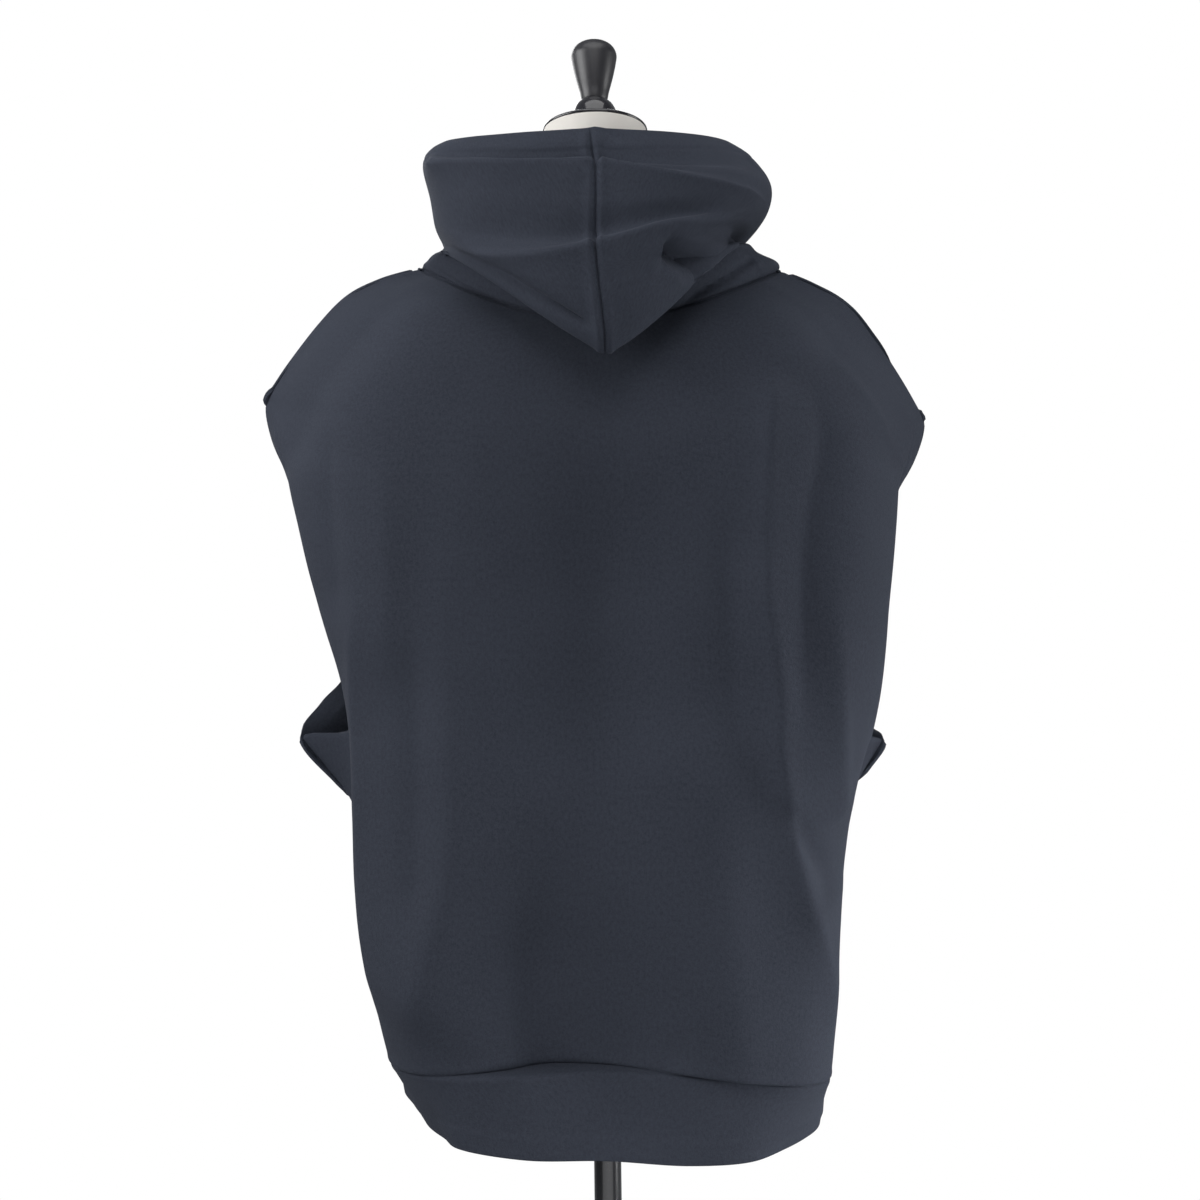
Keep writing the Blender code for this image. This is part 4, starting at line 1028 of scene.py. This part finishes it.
def put(name, mesh, finish, slot, *nodes):
    """Adds a finished mesh to the scene in place of its nodes."""
    piece = bpy.data.objects.new(name, mesh)
    bpy.context.scene.collection.objects.link(piece)
    return settle(piece, finish, slot, *nodes)


def settle(piece, finish, slot, *nodes):
    mesh = piece.data
    mesh.materials.clear()
    mesh.materials.append(finish)
    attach(piece, BODY)
    if nodes:
        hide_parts(*nodes)
    return piece


def free_edges(grid, free, closed):
    """How far the wall bulges along each edge of a grid: full where it is free, none at a seam."""
    edges = {"bottom": grid[0], "top": grid[-1], "first": grid[:, 0], "last": grid[:, -1]}
    bulges = {}
    for edge, rows in free.items():
        length = lengths_along(edges[edge][rows])
        full = np.minimum(np.minimum(length, length[-1] - length) / EDGE_TAPER, 1)
        bulges[edge] = (rows, np.ones_like(full) if closed else full)
    return bulges


def walled(grid, facing, wall, free, closed):
    """Points, faces and flat-cut places of a grid and its inner face, round at its free edges."""
    rows, columns = grid.shape[:2]
    normals = outward(grid, facing)
    if closed:
        normals = ring_normals(normals)
    inner = grid - normals * wall
    across, along = from_edge(grid, "first"), from_edge(grid, "bottom")
    laid = np.stack([across - across[:, columns // 2, None], along], axis=2)
    points, flat = [grid.reshape(-1, 3), inner.reshape(-1, 3)], [laid.reshape(-1, 2)] * 2
    index = np.arange(rows * columns).reshape(rows, columns)

    def strip(low, high):
        return np.stack([low[:-1], low[1:], high[1:], high[:-1]], axis=1)

    faces = [strip(low, high) for low, high in zip(index, index[1:])]
    faces += [face[:, ::-1] + rows * columns for face in faces]
    bulges = free_edges(grid, free, closed)
    for edge, here, beside in (
        ("bottom", (0, slice(None)), (1, slice(None))),
        ("top", (-1, slice(None)), (-2, slice(None))),
        ("first", (slice(None), 0), (slice(None), 1)),
        ("last", (slice(None), -1), (slice(None), -2)),
    ):
        if closed and edge in ("first", "last"):
            continue
        off = grid[here] - grid[beside]
        off -= normals[here] * (off * normals[here]).sum(-1, keepdims=True)
        bulge = np.zeros(len(off))
        if edge in bulges:
            place, full = bulges[edge]
            bulge[place] = wall / 2 * full
        lines = [index[here]]
        for turn in np.linspace(0, math.pi, EDGE_ROUND_STEPS + 2)[1:-1]:
            share = (1 - math.cos(turn)) / 2
            middle = grid[here] * (1 - share) + inner[here] * share
            lines.append(sum(len(p) for p in points) + np.arange(len(off)))
            points.append(middle + unit(off) * (bulge * math.sin(turn))[:, None])
            flat.append(laid[here])
        lines.append(index[here] + rows * columns)
        faces += [strip(low, high) for low, high in zip(lines, lines[1:])]
    return np.concatenate(points), np.concatenate(faces), np.concatenate(flat)


def cloth_mesh(name, points, faces, flat):
    """A smooth mesh with its flat cut as its UV map."""
    mesh = bpy.data.meshes.new(name)
    mesh.from_pydata(points.tolist(), [], faces.tolist())
    corners = np.empty(len(mesh.loops), int)
    mesh.loops.foreach_get("vertex_index", corners)
    mesh.uv_layers.new(name="Flat cut").data.foreach_set("uv", flat[corners].ravel())
    bm = bmesh.new()
    bm.from_mesh(mesh)
    bmesh.ops.remove_doubles(bm, verts=bm.verts, dist=MERGE)
    bmesh.ops.recalc_face_normals(bm, faces=bm.faces)
    bm.to_mesh(mesh)
    bm.free()
    mesh.shade_smooth()
    mesh.set_sharp_from_angle(angle=CLOTH_CREASE)
    return mesh


def cloth(name, node, grid, facing, free, closed=False):
    """A cut piece of jersey with its thickness on the inside."""
    wall = bpy.context.scene.hoodie_cloth.wall
    mesh = cloth_mesh(name, *walled(grid, facing, wall, free, closed))
    return put(name, mesh, jersey(), "jersey", node)


def turned(name, profile, sides, seat=(0, 0, 0), tilt=0.0):
    """A turned piece: a disc drawn out ring by ring. Its profile runs up as (radius, height)."""
    bpy.ops.object.select_all(action="DESELECT")
    (radius, height), *rest = profile
    bpy.ops.mesh.primitive_circle_add(vertices=sides, radius=radius, fill_type="NGON")
    piece = bpy.context.active_object
    piece.name = piece.data.name = name
    bpy.ops.object.mode_set(mode="EDIT")
    bpy.ops.mesh.select_all(action="SELECT")
    bpy.ops.transform.translate(value=(0, 0, height))
    for wide, high in rest:
        bpy.ops.mesh.extrude_region_move(TRANSFORM_OT_translate={"value": (0, 0, high - height)})
        share = wide / radius
        bpy.ops.transform.resize(value=(share, share, 1), center_override=(0, 0, high))
        radius, height = wide, high
    bpy.ops.mesh.select_all(action="SELECT")
    bpy.ops.mesh.remove_doubles(threshold=MERGE)
    bpy.ops.mesh.normals_make_consistent(inside=False)
    bpy.ops.object.mode_set(mode="OBJECT")
    piece.location = seat
    piece.rotation_euler = (tilt, 0, 0)
    bpy.ops.object.transform_apply(location=True, rotation=True, scale=True)
    bpy.ops.object.shade_smooth_by_angle(angle=TURNED_CREASE)
    return piece


def outline(turns, steps):
    """The smooth profile of a turned piece, as (radius, height)."""
    smooth = through([(turn.radius, turn.along) for turn in turns], [steps] * (len(turns) - 1))
    return [tuple(point) for point in smooth]


def base_profile(form):
    """The round base from its underside over its boss into the hole that takes the pole."""
    hole, rim = form.pole_radius + SEAT_GAP, form.base_radius
    profile = [(rim + past, height) for past, height in BASE_RIM]
    profile.append((rim * BASE_SLOPE[0], BASE_SLOPE[1]))
    profile += [(BOSS_RADIUS + past, height) for past, height in BASE_BOSS]
    return profile + [(hole + CHAMFER, BOSS_TOP), (hole, BOSS_TOP - CHAMFER), (hole, SOCKET_FLOOR)]


def socket_profile(form):
    """The socket under the torso, from inside its hole round its tube out to its flange."""
    hole, top = form.pole_radius + SEAT_GAP, TORSO[0].height - SEAT_GAP
    under, low = top - FLANGE_THICKNESS, top - SOCKET_LENGTH
    return [
        (hole, under), (hole, low + CHAMFER), (hole + CHAMFER, low),
        (BOSS_RADIUS - ROUND, low), (BOSS_RADIUS, low + ROUND),
        (BOSS_RADIUS, under - FILLET), (BOSS_RADIUS + FILLET_MIDDLE, under - FILLET_MIDDLE),
        (BOSS_RADIUS + FILLET, under),
        (FLANGE_RADIUS - FLANGE_EDGE, under), (FLANGE_RADIUS, under + FLANGE_EDGE),
        (FLANGE_RADIUS, top),
    ]


def pole_profile(form):
    """The pole, from the floor of the base's hole to the end of the socket's."""
    radius, foot = form.pole_radius, SOCKET_FLOOR + SEAT_GAP
    head = TORSO[0].height - 2 * SEAT_GAP - FLANGE_THICKNESS
    return [
        (radius - ROUND, foot), (radius, foot + ROUND),
        (radius, head - ROUND), (radius - ROUND, head),
    ]


def cap_axis_point(distance):
    """A point on the leaning axis of the neck cap and knob."""
    return CAP_SEAT + Vector((0, -math.sin(CAP_TILT), math.cos(CAP_TILT))) * distance


# ---------------------------------------------------------------- finishes


class Shade:
    """One value in a finish. Sums, differences and products of it add their Math nodes."""

    def __init__(self, finish, socket):
        self.finish, self.socket = finish, socket

    def maths(self, operation, *values):
        return self.finish.node("ShaderNodeMath", {"operation": operation}, dict(enumerate(values)))

    def __add__(self, other):
        return self.maths("ADD", self, other)

    def __sub__(self, other):
        return self.maths("SUBTRACT", self, other)

    def __mul__(self, other):
        return self.maths("MULTIPLY", self, other)

    def __radd__(self, other):
        return self.maths("ADD", other, self)

    def __rsub__(self, other):
        return self.maths("SUBTRACT", other, self)

    def __rmul__(self, other):
        return self.maths("MULTIPLY", other, self)

    def sine(self):
        return self.maths("SINE", self)

    def size(self):
        return self.maths("ABSOLUTE", self)

    def smooth_between(self, low, high):
        """0 below low, 1 above high, smooth between."""
        return self.finish.node(
            "ShaderNodeMapRange", {"interpolation_type": "SMOOTHSTEP"},
            {"Value": self, "From Min": low, "From Max": high},
        )


class Tree:
    """The nodes of a material or of the world, under construction."""

    def __init__(self, owner):
        owner.use_nodes = True
        self.nodes = owner.node_tree.nodes
        self.links = owner.node_tree.links

    def node(self, kind, settings=(), sockets=(), output=0):
        """Adds a node, its settings first and then the values or links of its sockets."""
        made = self.nodes.new(kind)
        for name, value in dict(settings).items():
            setattr(made, name, value)
        for name, value in dict(sockets).items():
            self.give(made.inputs[name], value)
        return Shade(self, made.outputs[output])

    def give(self, socket, value):
        if isinstance(value, Shade):
            self.links.new(value.socket, socket)
        elif socket.type == "RGBA" and len(value) == 3:
            socket.default_value = (*value, 1.0)
        else:
            socket.default_value = value

    def part(self, vector, axis):
        return self.node("ShaderNodeSeparateXYZ", {}, {"Vector": vector}, output=axis)


class Finish(Tree):
    """A material under construction."""

    def __init__(self, name):
        self.material = bpy.data.materials.new(name)
        super().__init__(self.material)
        self.shader = self.nodes["Principled BSDF"]

    def set(self, **values):
        """Sets or links the shader's own sockets: Base_Color for Base Color."""
        for name, value in values.items():
            self.give(self.shader.inputs[name.replace("_", " ")], value)

    def place(self):
        return self.node("ShaderNodeTexCoord", output="Object")

    def flat_cut(self):
        return self.node("ShaderNodeUVMap", {"uv_map": "Flat cut"})

    def stretched(self, vector, scale):
        """Coordinates multiplied on each axis."""
        return self.node("ShaderNodeVectorMath", {"operation": "MULTIPLY"}, {0: vector, 1: scale})

    def speckle(self, vector, scale, detail=2.0, roughness=0.5):
        return self.node(
            "ShaderNodeTexNoise", {},
            {"Vector": vector, "Scale": scale, "Detail": detail, "Roughness": roughness},
        )

    def blend(self, share, one, other):
        """A colour between two."""
        return self.node(
            "ShaderNodeMix", {"data_type": "RGBA"}, {0: share, 6: one, 7: other}, output=2
        )

    def raised(self, height, distance, strength=1.0, normal=None):
        sockets = {"Height": height, "Distance": distance, "Strength": strength}
        if normal:
            sockets["Normal"] = normal
        return self.node("ShaderNodeBump", {}, sockets)


@functools.lru_cache
def jersey():
    """Charcoal double-knit cotton jersey: heathered, matt, with a fine face of knit stitches."""
    cloth_settings = bpy.context.scene.hoodie_cloth
    made = Finish("Charcoal jersey")
    place, flat = made.place(), made.flat_cut()
    across, along = made.part(flat, "X"), made.part(flat, "Y")
    # Columns of knit stitches, whose legs slant away from the middle of their column
    columns = (across * (2 * math.pi / COLUMN_WIDTH)).sine()
    stitches = ((along * (2 * math.pi / STITCH_HEIGHT)) + 1.6 * columns.size()).sine()
    knit = columns.size() * 0.6 + stitches * 0.22
    heather = made.speckle(made.stretched(flat, (1.0, 0.80, 1.0)), 700.0, 3.0, 0.65)
    flecks = made.speckle(made.stretched(flat, (1.0, 0.7, 1.0)), 330.0, 2.0, 0.5)
    cloud = made.speckle(place, 9.0, 2.0, 0.5)
    tone = (0.15 + 0.45 * heather + 0.35 * flecks + 0.22 * cloud).smooth_between(0.30, 0.90)
    made.set(
        Base_Color=made.blend(tone, tuple(cloth_settings.dark), tuple(cloth_settings.light)),
        Roughness=0.80 + 0.12 * heather,
        Specular_IOR_Level=0.10,
        Sheen_Weight=0.06,
        Sheen_Roughness=0.45,
        Sheen_Tint=(0.55, 0.60, 0.75),
        Normal=made.raised(heather, 0.0006, 0.5, normal=made.raised(knit, 0.00018, 0.5)),
    )
    return made.material


@functools.lru_cache
def form_jersey():
    """The pale cotton cover of the form: a fine knit, very slightly soiled."""
    made = Finish("Form cover")
    place = made.place()
    knit = made.node(
        "ShaderNodeTexWave", {"wave_type": "BANDS", "bands_direction": "X"},
        {"Vector": place, "Scale": 300.0, "Distortion": 1.2, "Detail": 1.0},
        output="Fac",
    )
    fuzz = made.speckle(place, 700.0, 2.0, 0.6)
    stain = made.speckle(place, 14.0, 3.0, 0.6).smooth_between(0.35, 0.85)
    cover = tuple(bpy.context.scene.dress_form.cover)
    made.set(
        Base_Color=made.blend(0.25 * stain + 0.10 * fuzz, cover, tuple(0.86 * c for c in cover)),
        Roughness=0.86 + 0.08 * fuzz,
        Specular_IOR_Level=0.3,
        Sheen_Weight=0.15,
        Normal=made.raised(knit * 0.5 + fuzz * 0.5, 0.00025, 0.4),
    )
    return made.material


@functools.lru_cache
def lacquer(glossy):
    """Black lacquer on turned wood, satin or glossy, with turning rings, brush marks and dust."""
    made = Finish("Black gloss lacquer" if glossy else "Black satin lacquer")
    place = made.place()
    rings = made.speckle(made.stretched(place, (1.0, 1.0, 60.0)), 30.0, 3.0, 0.6)
    grain = made.speckle(made.stretched(place, (90.0, 90.0, 8.0)), 6.0, 3.0, 0.6)
    dust = made.speckle(place, 260.0, 2.0, 0.7).smooth_between(0.58, 0.78)
    colour = tuple(bpy.context.scene.dress_form.lacquer)
    made.set(
        Base_Color=made.blend(0.35 * grain + 0.25 * dust, colour, (0.045, 0.045, 0.053)),
        Roughness=(0.12 if glossy else 0.36) + 0.10 * grain + 0.10 * dust,
        Coat_Weight=0.5 if glossy else 0.15,
        Coat_Roughness=0.06 if glossy else 0.30,
        Normal=made.raised(rings * 0.6 + grain * 0.4, 0.00012, 0.5),
    )
    return made.material


@functools.lru_cache
def painted_steel():
    """Gloss black paint on steel, with a faint orange peel and rubbed dust."""
    made = Finish("Black painted steel")
    place = made.place()
    peel = made.speckle(place, 420.0, 2.0, 0.5)
    rubbed = made.speckle(made.stretched(place, (1.0, 1.0, 0.3)), 26.0, 4.0, 0.6)
    dust = made.speckle(place, 900.0, 1.0, 0.5).smooth_between(0.62, 0.80)
    colour = tuple(bpy.context.scene.dress_form.steel)
    made.set(
        Base_Color=made.blend(0.30 * rubbed + 0.30 * dust, colour, (0.058, 0.058, 0.062)),
        Roughness=0.14 + 0.16 * rubbed + 0.12 * dust,
        Metallic=0.25,
        Coat_Weight=0.4,
        Coat_Roughness=0.08,
        Normal=made.raised(peel, 0.00012, 0.35),
    )
    return made.material


# ---------------------------------------------------------------- operators


def needed_height():
    settings = bpy.context.scene.hoodie_cloth
    return settings.wall + settings.clearance


def grids():
    return draped(needed_height(), bpy.context.scene.hoodie_cloth.fold_depth)


class HOODIE_OT_dress_form(bpy.types.Operator):
    """Makes the padded torso and neck of the dress form"""

    bl_idname = "hoodie.dress_form"
    bl_label = "Dress Form"

    def execute(self, context):
        points, faces = torso_shape()
        mesh = bpy.data.meshes.new("dress_form")
        mesh.from_pydata(points, [], faces)
        mesh.shade_smooth()
        mesh.set_sharp_from_angle(angle=FORM_CREASE)
        put("dress_form", mesh, form_jersey(), "form_cover", "form_torso")
        return {"FINISHED"}


class HOODIE_OT_neck_top(bpy.types.Operator):
    """Turns the neck cap, the domed collar and the knob on top of the neck"""

    bl_idname = "hoodie.neck_top"
    bl_label = "Neck Cap, Collar and Knob"

    def execute(self, context):
        radius = context.scene.dress_form.cap_radius
        edge = CAP_THICKNESS / 2
        round_edge = [
            (radius - edge + edge * math.sin(a), edge - edge * math.cos(a))
            for a in np.linspace(0, math.pi, CAP_EDGE_STEPS)
        ]
        cap = turned("neck_disc", round_edge, TURNED_SIDES, cap_axis_point(SEAT_GAP), CAP_TILT)
        settle(cap, lacquer(glossy=True), "lacquer", "neck_cap")
        seat = cap_axis_point(CAP_THICKNESS + 2 * SEAT_GAP)
        collar = outline(COLLAR, COLLAR_STEPS)
        dome = turned("neck_collar", collar, TURNED_SIDES, seat, CAP_TILT)
        settle(dome, lacquer(glossy=True), "lacquer")
        knob = outline(KNOB, KNOB_STEPS)
        knob[-1] = (KNOB_TIP, knob[-1][1])
        top = turned("neck_knob", knob, TURNED_SIDES, seat, CAP_TILT)
        settle(top, lacquer(glossy=False), "lacquer", "finial")
        return {"FINISHED"}


class HOODIE_OT_stand(bpy.types.Operator):
    """Makes the pole, its socket under the torso and the round base"""

    bl_idname = "hoodie.stand"
    bl_label = "Pole, Socket and Base"

    def execute(self, context):
        form = context.scene.dress_form
        for name, profile, sides, node in (
            ("stand_base", base_profile(form), BASE_SIDES, "base"),
            ("torso_socket", socket_profile(form), TURNED_SIDES, "pole_socket"),
            ("stand_pole", pole_profile(form), TURNED_SIDES, "pole"),
        ):
            settle(turned(name, profile, sides), painted_steel(), "black_steel", node)
        return {"FINISHED"}


class HOODIE_OT_body(bpy.types.Operator):
    """Drapes the back and the front of the hoodie over the form"""

    bl_idname = "hoodie.body"
    bl_label = "Back and Front"

    def execute(self, context):
        sides, shoulders = sewn_rows()
        armholes = dict.fromkeys(("first", "last"), slice(sides.stop - 1, shoulders.start + 1))
        back = cloth("hoodie_back", "back_panel", grids()["back"], -1, armholes)
        front = cloth("hoodie_front", "front_panel", grids()["front"], 1, armholes)
        return {"FINISHED"}


class HOODIE_OT_hood(bpy.types.Operator):
    """Folds the two halves of the hood back over the shoulders"""

    bl_idname = "hoodie.hood"
    bl_label = "Hood"

    def execute(self, context):
        rim = {"top": slice(None)}
        left = cloth("hood_half_left", "hood_left", grids()["left"], -1, rim)
        right = cloth("hood_half_right", "hood_right", grids()["right"], 1, rim)
        return {"FINISHED"}


class HOODIE_OT_band(bpy.types.Operator):
    """Sews the band round the hem"""

    bl_idname = "hoodie.band"
    bl_label = "Hem Band"

    def execute(self, context):
        hem = {"bottom": slice(None)}
        ring = cloth("hoodie_band", "hem_band", grids()["ring"], -1, hem, closed=True)
        return {"FINISHED"}


class HOODIE_OT_stage(bpy.types.Operator):
    """Sets up the pale floor, the soft studio light and the camera"""

    bl_idname = "hoodie.stage"
    bl_label = "Floor, Light and Camera"

    def execute(self, context):
        stage = context.scene.photo_stage
        self.floor(stage)
        self.surroundings(context, stage)
        for box in SOFTBOXES:
            self.softbox(box)
        self.camera(context, stage)
        context.scene.view_settings.view_transform = "Standard"
        return {"FINISHED"}

    @staticmethod
    def floor(stage):
        bpy.ops.object.select_all(action="DESELECT")
        bpy.ops.mesh.primitive_circle_add(vertices=FLOOR_SIDES, radius=FLOOR_SIZE, fill_type="NGON")
        floor = bpy.context.active_object
        floor.name = "floor"
        made = Finish("Pale floor")
        place = made.place()
        length = {"operation": "LENGTH"}
        away = made.node("ShaderNodeVectorMath", length, {0: place}, output="Value")
        fade = away.smooth_between(stage.floor_radius, stage.floor_radius + FLOOR_FADE)
        mottle = made.speckle(place, 6.0, 3.0, 0.6)
        pale = made.blend(mottle, *FLOOR_TONES)
        made.set(
            Base_Color=made.blend(fade, pale, BLACK),
            Roughness=0.9,
            Specular_IOR_Level=0.0,
            Emission_Strength=1.0,
            Emission_Color=made.blend(fade, BLACK, WHITE),
        )
        floor.data.materials.append(made.material)
        floor.visible_diffuse = floor.visible_glossy = False

    @staticmethod
    def surroundings(context, stage):
        """White where the camera sees it. As a light, the backdrop is brighter than the room."""
        world = bpy.data.worlds.new("White surroundings")
        context.scene.world = world
        made = Tree(world)
        direction = made.node("ShaderNodeTexCoord", output="Generated")
        behind = (0 - made.part(direction, "Y")).smooth_between(*BACKDROP_FADE)
        below = (0 - made.part(direction, "Z")).smooth_between(*BELOW_FADE)
        room = stage.fill + (stage.backdrop - stage.fill) * behind + stage.floor_light * below
        lit = made.node("ShaderNodeBackground", {}, {"Color": DAYLIGHT, "Strength": room})
        seen = made.node("ShaderNodeBackground", {}, {"Color": WHITE, "Strength": 1.0})
        to_camera = made.node("ShaderNodeLightPath", output="Is Camera Ray")
        mixed = made.node("ShaderNodeMixShader", {}, {0: to_camera, 1: lit, 2: seen})
        made.give(made.nodes["World Output"].inputs["Surface"], mixed)

    @staticmethod
    def softbox(box):
        light = bpy.data.lights.new(box.name, "AREA")
        light.shape = "RECTANGLE"
        light.size, light.size_y = box.sides
        light.spread = math.radians(box.spread)
        light.energy = box.power
        lamp = bpy.data.objects.new(box.name, light)
        bpy.context.scene.collection.objects.link(lamp)
        toward = Vector(box.aim) - Vector(box.place)
        lamp.rotation_euler = toward.to_track_quat("-Z", "Y").to_euler()
        lamp.location = box.place
        lamp.visible_camera = False

    @staticmethod
    def camera(context, stage):
        lens = bpy.data.cameras.new("Photo camera")
        lens.sensor_fit = "HORIZONTAL"
        lens.angle = stage.camera_view
        camera = bpy.data.objects.new("Photo camera", lens)
        context.scene.collection.objects.link(camera)
        lean = stage.camera_lean
        right = Vector((-math.cos(lean), 0, -math.sin(lean)))
        up = Vector((-math.sin(lean), 0, math.cos(lean)))
        camera.matrix_world = Matrix.Translation(stage.camera_place) @ Matrix(
            (right, up, right.cross(up))
        ).transposed().to_4x4()
        context.scene.camera = camera


OPERATORS = (
    HOODIE_OT_dress_form,
    HOODIE_OT_neck_top,
    HOODIE_OT_stand,
    HOODIE_OT_body,
    HOODIE_OT_hood,
    HOODIE_OT_band,
    HOODIE_OT_stage,
)


class HOODIE_PT_sidebar(bpy.types.Panel):
    """Lists the hoodie's steps in the order in which they are made"""

    bl_label = "Sleeveless Hoodie"
    bl_idname = "HOODIE_PT_sidebar"
    bl_space_type = "VIEW_3D"
    bl_region_type = "UI"
    bl_category = "Hoodie"

    def draw(self, context):
        scene = context.scene
        for group in (scene.hoodie_cloth, scene.dress_form, scene.photo_stage):
            box = self.layout.box()
            for name in group.__annotations__:
                box.prop(group, name)
        for operator in OPERATORS:
            self.layout.operator(operator.bl_idname)


SETTINGS = {
    "hoodie_cloth": HoodieCloth,
    "dress_form": DressForm,
    "photo_stage": PhotoStage,
}


def register():
    for group in SETTINGS.values():
        bpy.utils.register_class(group)
    for name, group in SETTINGS.items():
        setattr(bpy.types.Scene, name, bpy.props.PointerProperty(type=group))
    for operator in OPERATORS:
        bpy.utils.register_class(operator)
    bpy.utils.register_class(HOODIE_PT_sidebar)


def unregister():
    bpy.utils.unregister_class(HOODIE_PT_sidebar)
    for operator in reversed(OPERATORS):
        bpy.utils.unregister_class(operator)
    for name, group in reversed(SETTINGS.items()):
        delattr(bpy.types.Scene, name)
        bpy.utils.unregister_class(group)


def main():
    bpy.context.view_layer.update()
    register()
    for operator in OPERATORS:
        group, name = operator.bl_idname.split(".")
        getattr(getattr(bpy.ops, group), name)()


if __name__ == "__main__":
    main()
